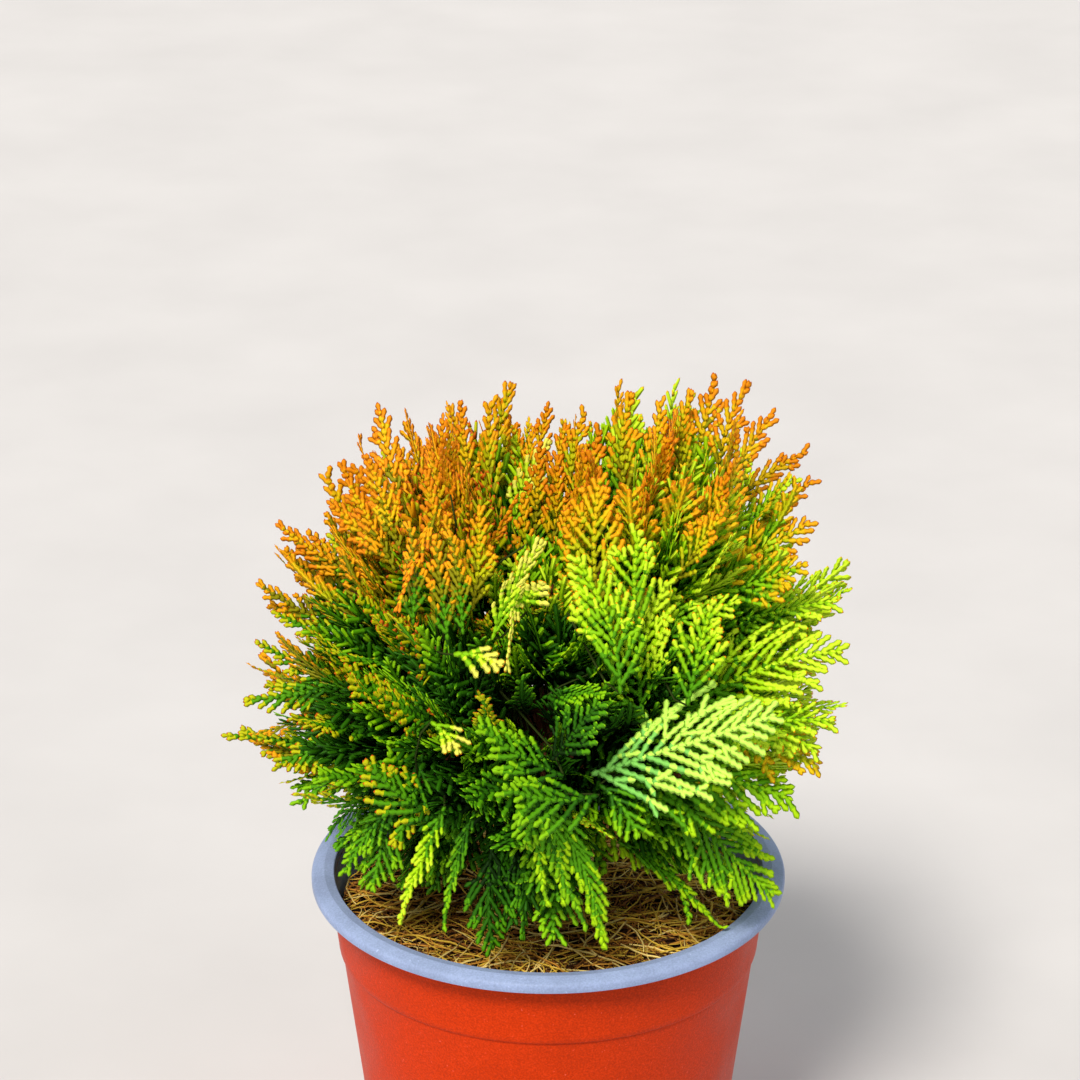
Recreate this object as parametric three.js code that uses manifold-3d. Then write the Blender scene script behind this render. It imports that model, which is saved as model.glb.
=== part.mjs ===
// A globe thuja in a round nursery pot: the pot with its rolled grey lip, its growing medium under a
// mulch mat, a short trunk, and one bough for each mass of foliage.
// Millimetres. The origin is on the floor under the pot, +Z is up, +X is the viewer's right and
// -Y is towards the viewer.
import * as THREE from "three";
import { mergeVertices } from "three/addons/utils/BufferGeometryUtils.js";
import Module from "manifold-3d";

const GAP = 0.3; // left between two pieces that touch
const ROUND_SIDES = 28;

// The pot: a 2 litre container, 17 cm across its lip
const POT_HEIGHT = 138;
const LIP_RADIUS = 85;
const LIP_WIDTH = 8.2;
const LIP_DEPTH = 4.6;
const LIP_ARCH = 3.4; // height of the lip's rounded top
const WALL = 1.2;
const BASE_RADIUS = 61.5;
const BASE_THICKNESS = 1.6;
const NECK_RADIUS = LIP_RADIUS - LIP_WIDTH + WALL;
const COLLAR_TOP_Z = 120; // the collar is the band between the neck and the stacking ring
const COLLAR_STEP = 1.5;
const COLLAR_TAPER = 0.07;
const RING_Z = 109;
const RING_RADIUS = NECK_RADIUS - 3.4;
const BORE_TOP_Z = 124; // above this the inside of the wall is straight
const DRAIN_HOLES = 8;
const DRAIN_RADIUS = 4;
const DRAIN_CIRCLE = 46;

// What fills the pot
const MEDIUM_TOP = 118;
const MULCH_THICKNESS = 4;
const MULCH_WAVE = 0.6;
const MULCH_HOLE = 12.5;

// The trunk, from its flat foot on the growing medium to its tip inside the foliage
const TRUNK_FOOT = MEDIUM_TOP + GAP;
const TRUNK_TOP = 186;
const TRUNK_RADIUS = 6.2;
const TRUNK_TIP_RADIUS = 2.6;
const ROOT_FLARE = 4.3;
const BUTTRESSES = 5;
const TRUNK_LEAN = new THREE.Vector2(3, -2);

// The boughs
const BOUGH_RADIUS = 2.3;
const BOUGH_TIP_RADIUS = 1.5;
const BOUGH_ARCH = 0.2; // rise of a bough's middle, as a share of its level length
const BOUGH_REACH = 9; // how far a bough's path runs into its mass before it is cut there
const LOWEST_BOUGH = 134;

// The foliage: a globe, rather flat on top, round a bare and twiggy core
const GLOBE_CENTRE = new THREE.Vector3(0, 0, 205);
const CORE_CENTRE = new THREE.Vector3(0, 0, 170);
const CORE_RADIUS = 25;
const CORE_HALF_HEIGHT = 60;
const CELL_GAP = 0.8; // open space between two neighbouring masses
const LUMPS = 0.11; // broad swellings, as a share of a mass's radius
const TUFTS = 0.05; // small peaks, as a share of a mass's radius

// Each mass: its bearing from the globe's centre (azimuth from +X towards +Y, then elevation, degrees),
// how far its furthest tips reach, its half width and its half length along the bearing
const MASSES = [
  { name: "top_left", azimuth: 196, elevation: 61, reach: 121, wide: 42, long: 46 },
  { name: "top_right", azimuth: 349, elevation: 57, reach: 130, wide: 44, long: 50 },
  { name: "top_front", azimuth: 272, elevation: 56, reach: 102, wide: 34, long: 38 },
  { name: "top_back_left", azimuth: 130, elevation: 57, reach: 112, wide: 42, long: 44 },
  { name: "top_back_right", azimuth: 42, elevation: 53, reach: 123, wide: 44, long: 48 },
  { name: "upper_left", azimuth: 185, elevation: 32, reach: 113, wide: 36, long: 44 },
  { name: "front_left", azimuth: 237, elevation: 30, reach: 103, wide: 36, long: 42 },
  { name: "front_right", azimuth: 299, elevation: 31, reach: 105, wide: 37, long: 42 },
  { name: "upper_right", azimuth: 352, elevation: 32, reach: 119, wide: 37, long: 46 },
  { name: "upper_back_right", azimuth: 36, elevation: 22, reach: 111, wide: 37, long: 43 },
  { name: "upper_back", azimuth: 86, elevation: 24, reach: 104, wide: 38, long: 42 },
  { name: "upper_back_left", azimuth: 138, elevation: 20, reach: 108, wide: 37, long: 43 },
  { name: "left", azimuth: 204, elevation: 3, reach: 110, wide: 32, long: 44 },
  { name: "front_left_middle", azimuth: 236, elevation: 0, reach: 98, wide: 30, long: 38 },
  { name: "front_middle", azimuth: 268, elevation: -4, reach: 92, wide: 28, long: 35 },
  { name: "front_fan", azimuth: 303, elevation: 2, reach: 103, wide: 29, long: 42 },
  { name: "right", azimuth: 338, elevation: 7, reach: 111, wide: 32, long: 44 },
  { name: "right_back", azimuth: 12, elevation: -6, reach: 107, wide: 31, long: 42 },
  { name: "back", azimuth: 66, elevation: -9, reach: 103, wide: 35, long: 41 },
  { name: "back_left", azimuth: 116, elevation: -10, reach: 103, wide: 35, long: 41 },
  { name: "left_back", azimuth: 168, elevation: -10, reach: 117, wide: 32, long: 48 },
  { name: "left_droop", azimuth: 208, elevation: -35, reach: 97, wide: 26, long: 36 },
  { name: "front_droop", azimuth: 264, elevation: -43, reach: 94, wide: 27, long: 36 },
  { name: "right_droop", azimuth: 330, elevation: -31, reach: 102, wide: 24, long: 38 },
  { name: "right_back_low", azimuth: 22, elevation: -38, reach: 92, wide: 26, long: 34 },
  { name: "back_low", azimuth: 88, elevation: -40, reach: 91, wide: 28, long: 34 },
  { name: "back_left_low", azimuth: 146, elevation: -38, reach: 92, wide: 27, long: 34 },
];
const GOLD_ELEVATION = 40; // masses above this are gold
const GREEN_ELEVATION = 0; // masses below this are deep green

const wasm = await Module();
wasm.setup();

const FINISHES = {
  pot: new THREE.MeshStandardMaterial({ color: 0xd8431c, roughness: 0.45, metalness: 0 }),
  lip: new THREE.MeshStandardMaterial({ color: 0x8795ad, roughness: 0.5, metalness: 0 }),
  medium: new THREE.MeshStandardMaterial({ color: 0x2b1d14, roughness: 0.95, metalness: 0 }),
  mulch: new THREE.MeshStandardMaterial({ color: 0x9a7436, roughness: 0.95, metalness: 0 }),
  bark: new THREE.MeshStandardMaterial({ color: 0x5a3323, roughness: 0.9, metalness: 0 }),
  gold: new THREE.MeshStandardMaterial({ color: 0xd79a1c, roughness: 0.6, metalness: 0 }),
  green: new THREE.MeshStandardMaterial({ color: 0x6fa51f, roughness: 0.6, metalness: 0 }),
  deepGreen: new THREE.MeshStandardMaterial({ color: 0x3b7a1c, roughness: 0.6, metalness: 0 }),
};

const thuja = new THREE.Group();

function add(name, geometry, material) {
  const mesh = new THREE.Mesh(geometry, material);
  mesh.name = name;
  thuja.add(mesh);
}

// A geometry reduced to positions and triangles that share their corners
function welded(geometry) {
  const bare = geometry.clone();
  bare.deleteAttribute("normal");
  bare.deleteAttribute("uv");
  return mergeVertices(bare, 1e-3);
}

function solidOf(geometry) {
  const mesh = welded(geometry);
  return new wasm.Manifold(
    new wasm.Mesh({
      numProp: 3,
      vertProperties: new Float32Array(mesh.attributes.position.array),
      triVerts: new Uint32Array(mesh.index.array),
    }),
  );
}

function geometryOf(solid) {
  const mesh = solid.getMesh();
  const geometry = new THREE.BufferGeometry();
  geometry.setAttribute("position", new THREE.BufferAttribute(mesh.vertProperties, 3));
  geometry.setIndex(new THREE.BufferAttribute(mesh.triVerts, 1));
  geometry.computeVertexNormals();
  return geometry;
}

// Moves every corner of a geometry to where place(x, y, z) puts it
function reshaped(geometry, place) {
  const at = geometry.attributes.position;
  for (let i = 0; i < at.count; i++) {
    const point = place(at.getX(i), at.getY(i), at.getZ(i));
    at.setXYZ(i, point.x, point.y, point.z);
  }
  geometry.computeVertexNormals();
  return geometry;
}

// A profile of [radius, height] points turned round the Z axis
function turned(profile) {
  const points = profile.map(([radius, height]) => new THREE.Vector2(radius, height));
  return new THREE.LatheGeometry(points, ROUND_SIDES).rotateX(Math.PI / 2);
}

// The wall's outer radius at a height
function wallRadius(z) {
  if (z > COLLAR_TOP_Z) return NECK_RADIUS;
  if (z > RING_Z) return NECK_RADIUS - COLLAR_STEP - (COLLAR_TOP_Z - z) * COLLAR_TAPER;
  return BASE_RADIUS + ((RING_RADIUS - BASE_RADIUS) * z) / RING_Z;
}

// The wall's inner radius, which runs straight from the stacking ring to the neck
function boreRadius(z) {
  const climb = THREE.MathUtils.clamp((z - RING_Z) / (BORE_TOP_Z - RING_Z), 0, 1);
  return wallRadius(Math.min(z, RING_Z)) - WALL + (NECK_RADIUS - RING_RADIUS) * climb;
}

function potWall() {
  const neckTop = POT_HEIGHT - LIP_DEPTH - GAP;
  const outside = [4, RING_Z, RING_Z + 0.8, COLLAR_TOP_Z, COLLAR_TOP_Z + 1, neckTop];
  const inside = [neckTop, BORE_TOP_Z, RING_Z, 4];
  let wall = solidOf(
    turned([
      [0, 0],
      [BASE_RADIUS - 1.8, 0],
      [BASE_RADIUS - 0.4, 1.2],
      ...outside.map((z) => [wallRadius(z), z]),
      ...inside.map((z) => [boreRadius(z), z]),
      [BASE_RADIUS - 2.8, BASE_THICKNESS],
      [0, BASE_THICKNESS],
    ]),
  );
  for (let i = 0; i < DRAIN_HOLES; i++) {
    const angle = ((i + 0.5) / DRAIN_HOLES) * 2 * Math.PI;
    const drill = new THREE.CylinderGeometry(DRAIN_RADIUS, DRAIN_RADIUS, 4 * WALL, 8).rotateX(Math.PI / 2);
    drill.translate(DRAIN_CIRCLE * Math.cos(angle), DRAIN_CIRCLE * Math.sin(angle), 0);
    wall = wall.subtract(solidOf(drill));
  }
  return geometryOf(wall);
}

// The rolled lip: an upside-down J, open underneath, whose inner leg stands on the wall
function potLip() {
  const inner = LIP_RADIUS - LIP_WIDTH;
  const middle = inner + LIP_WIDTH / 2;
  const foot = POT_HEIGHT - LIP_DEPTH;
  const arch = (degrees, size) => {
    const angle = THREE.MathUtils.degToRad(degrees);
    const side = (LIP_WIDTH / 2) * size * Math.cos(angle);
    return [middle + side, POT_HEIGHT - LIP_ARCH + LIP_ARCH * size * Math.sin(angle)];
  };
  return turned([
    [LIP_RADIUS - WALL, foot],
    [LIP_RADIUS, foot],
    ...[0, 45, 90, 135, 180].map((degrees) => arch(degrees, 1)),
    [inner, foot],
    [inner + WALL, foot],
    ...[170, 90, 10].map((degrees) => arch(degrees, 0.7)),
    [LIP_RADIUS - WALL, foot],
  ]);
}

function growingMedium() {
  const foot = BASE_THICKNESS + GAP;
  return turned([
    [0, foot],
    [BASE_RADIUS - 3.6, foot],
    ...[4, RING_Z, MEDIUM_TOP].map((z) => [boreRadius(z) - 2 * GAP, z]),
    [0, MEDIUM_TOP],
  ]);
}

// The mulch mat lies on the medium, with an uneven top and a hole for the trunk
function mulchMat() {
  const foot = MEDIUM_TOP + GAP;
  const top = foot + MULCH_THICKNESS;
  const edge = boreRadius(MEDIUM_TOP) - 2 * GAP;
  const mat = turned([
    [MULCH_HOLE, foot],
    [edge, foot],
    [edge, foot + MULCH_THICKNESS * 0.6],
    ...[0.8, 0.6, 0.4].map((share) => [edge * share, top]),
    [MULCH_HOLE, foot + MULCH_THICKNESS * 0.7],
    [MULCH_HOLE, foot],
  ]);
  return reshaped(mat, (x, y, z) => {
    const wave = Math.sin(x * 0.13 + 1) * Math.cos(y * 0.17) + Math.sin(y * 0.31);
    return new THREE.Vector3(x, y, z > top - 0.5 ? z + MULCH_WAVE * wave : z);
  });
}

// A point on the trunk's axis, which leans a little as it climbs
function trunkPoint(z) {
  const climb = (z - TRUNK_FOOT) / (TRUNK_TOP - TRUNK_FOOT);
  return new THREE.Vector3(TRUNK_LEAN.x * climb * climb, TRUNK_LEAN.y * climb, z);
}

// The trunk is a stack of level rings, so its foot is a flat cut; grow widens it into a cutter
function trunk(grow) {
  const stack = new THREE.CylinderGeometry(1, 1, 1, 2 * BUTTRESSES, 9).rotateX(Math.PI / 2);
  return reshaped(stack, (x, y, z) => {
    const along = Math.pow(z + 0.5, 1.6);
    const centre = trunkPoint(TRUNK_FOOT + along * (TRUNK_TOP - TRUNK_FOOT));
    const plain = THREE.MathUtils.lerp(TRUNK_RADIUS, TRUNK_TIP_RADIUS, along);
    const buttress = 1 + 0.3 * Math.cos(BUTTRESSES * Math.atan2(y, x));
    const radius = plain + ROOT_FLARE * buttress * Math.exp(-along * 16) + grow;
    return new THREE.Vector3(centre.x + x * radius, centre.y + y * radius, centre.z + 2 * z * grow);
  });
}

for (const mass of MASSES) {
  const down = THREE.MathUtils.degToRad(90 - mass.elevation);
  const round = THREE.MathUtils.degToRad(mass.azimuth);
  mass.way = new THREE.Vector3(
    Math.sin(down) * Math.cos(round),
    Math.sin(down) * Math.sin(round),
    Math.cos(down),
  );
  mass.centre = GLOBE_CENTRE.clone().addScaledVector(mass.way, mass.reach - mass.long);
  mass.rank = MASSES.filter((other) => other.elevation < mass.elevation).length;
}

// True where foliage may be: outside the bare core, above the mulch and clear of the pot's lip
function isOpen(point) {
  const level = Math.hypot(point.x, point.y);
  const inPot = level < LIP_RADIUS - LIP_WIDTH - 3;
  const floor = inPot ? MEDIUM_TOP + MULCH_THICKNESS + 2.5 : POT_HEIGHT + 1;
  const climb = (point.z - CORE_CENTRE.z) / CORE_HALF_HEIGHT;
  return point.z > floor && (level / CORE_RADIUS) ** 2 + climb ** 2 > 1;
}

// How far a mass goes from its centre along a direction: an uneven egg, held back by the planes
// between it and its neighbours and by what isn't open to it
function massRadius(mass, way) {
  const along = way.dot(mass.way);
  const egg = 1 / Math.sqrt((along / mass.long) ** 2 + (1 - along ** 2) / mass.wide ** 2);
  const seed = MASSES.indexOf(mass) * 2.4;
  const lumps =
    Math.sin(5.1 * way.x + seed) * Math.cos(4.3 * way.y - seed) +
    Math.sin(6.7 * way.z + 1.3 * seed) * Math.cos(5.9 * way.x + seed);
  const tufts = Math.sin(23 * way.x + seed) * Math.sin(21 * way.y - seed) + Math.sin(25 * way.z + 2 * seed);
  let radius = egg * (1 + LUMPS * lumps * (1 - 0.7 * Math.max(along, 0)) + TUFTS * tufts);
  for (const other of MASSES) {
    const between = other.centre.clone().sub(mass.centre);
    const distance = between.length();
    const towards = way.dot(between);
    if (towards <= 0) continue;
    const share = (distance * mass.wide) / (mass.wide + other.wide) - CELL_GAP / 2;
    radius = Math.min(radius, (share * distance) / towards);
  }
  let open = 2;
  while (open < radius && isOpen(mass.centre.clone().addScaledVector(way, open + 1))) open += 1;
  return Math.min(radius, open);
}

function foliageMass(mass, grow) {
  const ball = welded(new THREE.IcosahedronGeometry(1, 2));
  return reshaped(ball, (x, y, z) => {
    const way = new THREE.Vector3(x, y, z).normalize();
    return mass.centre.clone().addScaledVector(way, massRadius(mass, way) + grow);
  });
}

// The path of a mass's bough: out of the trunk, up through the core and into the mass.
// The lower a mass sits, the lower its bough leaves the trunk.
function boughPath(mass) {
  const inward = mass.way.clone().negate();
  const entry = mass.centre.clone().addScaledVector(inward, massRadius(mass, inward) - BOUGH_REACH);
  const climb = mass.rank / (MASSES.length - 1);
  const start = trunkPoint(THREE.MathUtils.lerp(LOWEST_BOUGH, TRUNK_TOP - 5, climb));
  const knee = start.clone().lerp(entry, 0.5);
  knee.z += BOUGH_ARCH * Math.hypot(entry.x - start.x, entry.y - start.y);
  return new THREE.QuadraticBezierCurve3(start, knee, entry);
}

// A tapering limb along a path; grow widens it into a cutter
function limb(path, grow) {
  const steps = 3;
  const frames = path.computeFrenetFrames(steps, false);
  return reshaped(new THREE.CylinderGeometry(1, 1, 1, 5, steps), (x, y, z) => {
    const step = Math.round((y + 0.5) * steps);
    const radius = THREE.MathUtils.lerp(BOUGH_RADIUS, BOUGH_TIP_RADIUS, step / steps) + grow;
    const point = path.getPointAt(step / steps);
    point.addScaledVector(frames.normals[step], x * radius);
    return point.addScaledVector(frames.binormals[step], -z * radius);
  });
}

// The boughs end against the trunk and the masses, and each gives way to those before it
function addBoughs() {
  const masses = MASSES.map((mass) => solidOf(foliageMass(mass, GAP)));
  let taken = solidOf(trunk(GAP));
  for (const mass of MASSES) {
    const path = boughPath(mass);
    let bough = solidOf(limb(path, 0)).subtract(taken);
    for (const other of masses) bough = bough.subtract(other);
    const pieces = bough.decompose().sort((one, other) => other.volume() - one.volume());
    add("bough_" + mass.name, geometryOf(pieces[0]), FINISHES.bark);
    taken = taken.add(solidOf(limb(path, GAP)));
  }
}

function finishOf(mass) {
  if (mass.elevation > GOLD_ELEVATION) return FINISHES.gold;
  return mass.elevation > GREEN_ELEVATION ? FINISHES.green : FINISHES.deepGreen;
}

add("pot_wall", potWall(), FINISHES.pot);
add("pot_lip", potLip(), FINISHES.lip);
add("growing_medium", growingMedium(), FINISHES.medium);
add("mulch_mat", mulchMat(), FINISHES.mulch);
add("trunk", trunk(0), FINISHES.bark);
for (const mass of MASSES) add("foliage_" + mass.name, foliageMass(mass, 0), finishOf(mass));
addBoughs();

export default thuja;
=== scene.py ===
import math

import bmesh
import bpy
import numpy as np
from bpy.props import FloatProperty, FloatVectorProperty, IntProperty, PointerProperty
from bpy.types import Operator, Panel, PropertyGroup
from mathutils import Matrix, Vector, noise
from mathutils.bvhtree import BVHTree


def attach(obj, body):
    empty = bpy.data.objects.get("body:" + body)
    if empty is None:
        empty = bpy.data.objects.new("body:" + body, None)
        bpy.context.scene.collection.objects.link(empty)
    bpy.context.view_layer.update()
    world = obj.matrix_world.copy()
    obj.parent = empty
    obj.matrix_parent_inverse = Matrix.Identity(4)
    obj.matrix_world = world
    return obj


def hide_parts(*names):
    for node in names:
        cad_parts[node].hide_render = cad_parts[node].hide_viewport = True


bl_info = {
    "name": "Potted thuja looks",
    "version": (1, 0, 0),
    "blender": (4, 5, 0),
    "location": "3D View > Sidebar > Thuja",
    "description": "Dresses the packed potted thuja with its pot, mulch, bark, twigs and scale-leaved sprays",
    "category": "Object",
}

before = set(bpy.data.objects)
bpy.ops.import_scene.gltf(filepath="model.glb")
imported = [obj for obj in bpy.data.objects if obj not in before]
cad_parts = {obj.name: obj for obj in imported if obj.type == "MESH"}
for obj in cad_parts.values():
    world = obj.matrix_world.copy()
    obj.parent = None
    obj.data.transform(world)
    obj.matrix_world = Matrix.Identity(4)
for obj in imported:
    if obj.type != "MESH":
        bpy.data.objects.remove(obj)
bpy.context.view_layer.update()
MM = 0.001
UP = np.array([0.0, 0.0, 1.0])
PHOTO_SIZE = 1080  # pixels on a side
SENSOR = 36.0  # width of the camera's sensor, mm
CAMERA_PLACE = (-0.00295, -1.11297, 0.73626)
LOOKS_DOWN = 22.99  # degrees below level
VIEW = np.array([0.0, math.cos(math.radians(LOOKS_DOWN)), -math.sin(math.radians(LOOKS_DOWN))])
BODY = "root"

# Soft sources: name, the way they come from, their spread in degrees, strength and colour
LIGHTS = [
    ("key_light", (-0.45, -1.2, 1.6), 16, 3.6, "FFF7EC"),
    ("side_light", (-1.4, -0.5, 0.4), 30, 0.75, "FFF9F0"),
    ("fill_light", (1.3, -0.7, 1.2), 50, 0.4, "F4F7FF"),
    ("back_light", (0.3, 1.2, 1.6), 40, 0.8, "FFFFFF"),
]

# The pot's fixed places, in metres
RING_HEIGHT = 0.1078  # foot of the step that the next pot in a stack rests on
COLLAR_HEIGHT = 0.120
FLOOR_THICKNESS = 0.0016
DRAIN_HOLES = 8
DRAIN_CIRCLE = 0.046  # radius of the circle that the holes' middles stand on
DRAIN_RADIUS = 0.004
LIP_STEPS = 144
SMOOTH = math.radians(40)  # edges stay sharp above this angle
CREASE = math.radians(24)  # the same, on the lip

# Sizes in the patterns, in mm
SKIN_GRAIN = 2 / 3  # coarser than the real one, so that it shows
RUBBED_PATCH = 26.3
SCUFF_SPACING = 1.613
BARK_STRIP = 1.43
PEAT_CRUMB = 2.38
FLOOR_MOTTLE = 111

# The mulch: its radius in mm, the tones of its fibres, and how often straw and coir have each tone
MULCH_SEED = 5
FILL_RADIUS = 74.2
FIBRE_TONES = ("DCB840", "C88E32", "925C22", "F0D680", "4E2E12")
STRAW_SHARES = {0: 6, 1: 3, 3: 5, 2: 1}
COIR_SHARES = {0: 4, 1: 6, 2: 6, 3: 1, 4: 4}

# The lowest that a spray may hang, by its distance from the pot's middle: on the mulch, then on the lip
REST_RADII = (0.0, 0.0720, 0.0760, 0.2)
REST_HEIGHTS = (0.1243, 0.1243, 0.1394, 0.1394)

# The crown, in mm
GLOBE = np.array([0.0, 0.0, 205.0])  # its middle
FACED_FROM = np.array([0.0, 0.0, 190.0])  # the sprays turn their upper sides away from here
OVERSHOOT = 4.0  # how far a spray may reach beyond the outline of the masses
# Sprays in this hollow are dealt darker tints: painted shade
HOLLOW, HOLLOW_RADIUS = np.array([3.0, -58.0, 249.0]), 20.0  # the shaded gap beside the arching front spray
LEFT_SIDE = -20  # further left than this the sprays are more weathered
TOUCHING = 1.0  # a spray whose base is nearer to its limb than this needs no twig
MEAN_WIDTH = 34  # from the middle of a mass to its corners
INNER = 0.7  # share of a mass within which the sprays are plain inner ones
OUTER = 0.93  # share of a mass beyond which a scale leaf is a bead of two rings
GOLDEN = 0.618034  # steps of this share spread evenly

# The crown's masses, the habit of each one's sprays, and the record's finish nearest to its own. The names of
# the CAD nodes and of the finishes have "foliage_" before these
MASSES = {
    "top_left": ("fine", "gold"),
    "top_right": ("slim", "gold"),
    "top_front": ("fine", "gold"),
    "top_back_left": ("fine", "gold"),
    "top_back_right": ("slim", "gold"),
    "upper_left": ("fine", "green"),
    "front_left": ("fine", "green"),
    "front_right": ("broad", "green"),
    "upper_right": ("mixed", "green"),
    "upper_back_right": ("mixed", "green"),
    "upper_back": ("mixed", "green"),
    "upper_back_left": ("slim", "green"),
    "left": ("slim", "green"),
    "front_left_middle": ("mixed", "deep"),
    "front_middle": ("mixed", "deep"),
    "front_fan": ("broad", "green"),
    "right": ("broad", "green"),
    "right_back": ("broad", "deep"),
    "back": ("broad", "deep"),
    "back_left": ("mixed", "deep"),
    "left_back": ("slim", "deep"),
    "left_droop": ("mixed", "deep"),
    "front_droop": ("broad", "deep"),
    "right_droop": ("broad", "deep"),
    "right_back_low": ("broad", "deep"),
    "back_low": ("broad", "deep"),
    "back_left_low": ("mixed", "deep"),
}

# Plain base colours of the scale leaves, sRGB
LEAF_COLOURS = {
    "copper": "C4600E",
    "orange": "E08A0A",
    "gold": "E8A40A",
    "yellow": "DEBA0C",
    "yellow_green": "BABE0A",
    "olive": "8C8A08",
    "pale_yellow": "E8E85A",
    "pale_lime": "C8EC28",
    "lime": "A6D60C",
    "bright_green": "82BE0A",
    "green": "509408",
    "deep_green": "2A6206",
    # Painted shade: a near black green that stands in for the shade deep in the crown
    "dark_green": "102E04",
    "soft_green": "80CC5A",
    "milk_green": "C6FA60",
}
LEAF_SLOTS = list(LEAF_COLOURS)

# A tint gives the colours of a spray's old, middle, young and outermost scale leaves, and of its very ends
TINTS = {
    "copper": "olive gold yellow orange copper",
    "orange": "olive yellow gold orange copper",
    "gold": "olive yellow_green yellow gold copper",
    "amber": "green olive olive gold copper",
    "yellow": "green bright_green yellow_green yellow orange",
    "tipped": "deep_green green green yellow_green copper",
    "sunlit": "bright_green pale_lime pale_yellow pale_yellow orange",
    "spring": "green lime pale_lime pale_lime yellow",
    "lime": "green bright_green lime pale_lime gold",
    "pale": "soft_green milk_green milk_green milk_green pale_lime",
    "fresh": "green green bright_green lime lime",
    "green": "deep_green green green bright_green bright_green",
    "deep": "dark_green deep_green deep_green green bright_green",
    # Painted shade: the tint of sprays deep in the crown, darkened for the shade there
    "shade": "dark_green dark_green deep_green deep_green deep_green",
}

# Tints in order of the sun they have had, and the score below which each is dealt. The lowest, shade, is
# painted shade
SUN_SCALE = [
    (0.2, "shade"),
    (0.32, "deep"),
    (0.41, "green"),
    (0.49, "fresh"),
    (0.56, "lime"),
    (0.62, "spring"),
    (0.69, "yellow"),
    (0.78, "gold"),
    (0.89, "orange"),
    (9.0, "copper"),
]

# The score on the crown's left, in its middle and on its right, at these heights in mm
SUN_SIDES = (-80, -15, 60)
SUN_HEIGHTS = (125, 155, 185, 215, 245, 275, 300, 325)
SUN_SCORES = (
    (0.27, 0.31, 0.36, 0.42, 0.5, 0.66, 0.82, 0.94),
    (0.22, 0.24, 0.29, 0.38, 0.51, 0.64, 0.79, 0.91),
    (0.44, 0.5, 0.55, 0.58, 0.59, 0.61, 0.7, 0.84),
)
# On the left side these tints give way to weathered ones
LEFT_TINTS = {"fresh": "tipped", "lime": "tipped", "spring": "amber", "yellow": "amber"}

# Each kind of spray: scale leaves along its main axis, on its longest side shoot, the length of one in mm,
# the angle in degrees at which side shoots leave, how often a side shoot forks again, and half the width of a
# scale leaf as a share of its length
SPRAY_KINDS = {
    "fan": (24, 14, 2.7, 41, 0.15, 0.48),
    "trailing": (23, 7, 2.5, 24, 0.3, 0.43),
    "slender": (20, 4, 2.5, 27, 0.0, 0.43),
    "large": (19, 10, 2.8, 39, 0.5, 0.43),
    "medium": (15, 8, 2.7, 39, 0.4, 0.43),
    "small": (9, 6, 2.7, 42, 0.4, 0.43),
    "young": (7, 4.5, 2.3, 42, 0.0, 0.52),
    "slim": (15, 6, 2.5, 33, 0.4, 0.43),
    "fine": (17, 6, 2.3, 35, 0.45, 0.43),
    "inner": (14, 6.3, 3.4, 38, 0.0, 0.36),
}
# How a mass of each habit deals out its kinds of spray, how thickly it bears them, and how far they roll, in
# degrees
SPRAY_CHOICES = {
    "fine": {"fine": 7, "slim": 3},
    "slim": {"fine": 2, "slim": 5, "medium": 2},
    "mixed": {"slim": 3, "medium": 6, "large": 1},
    "broad": {"large": 4, "medium": 5, "small": 2},
}
THICKNESS = {"fine": 1.35, "slim": 1.2, "mixed": 1.0, "broad": 0.85}
ROLL = {"fine": 50, "slim": 40, "mixed": 32, "broad": 24}
VARIANTS = 7  # templates of each kind of spray

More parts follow.
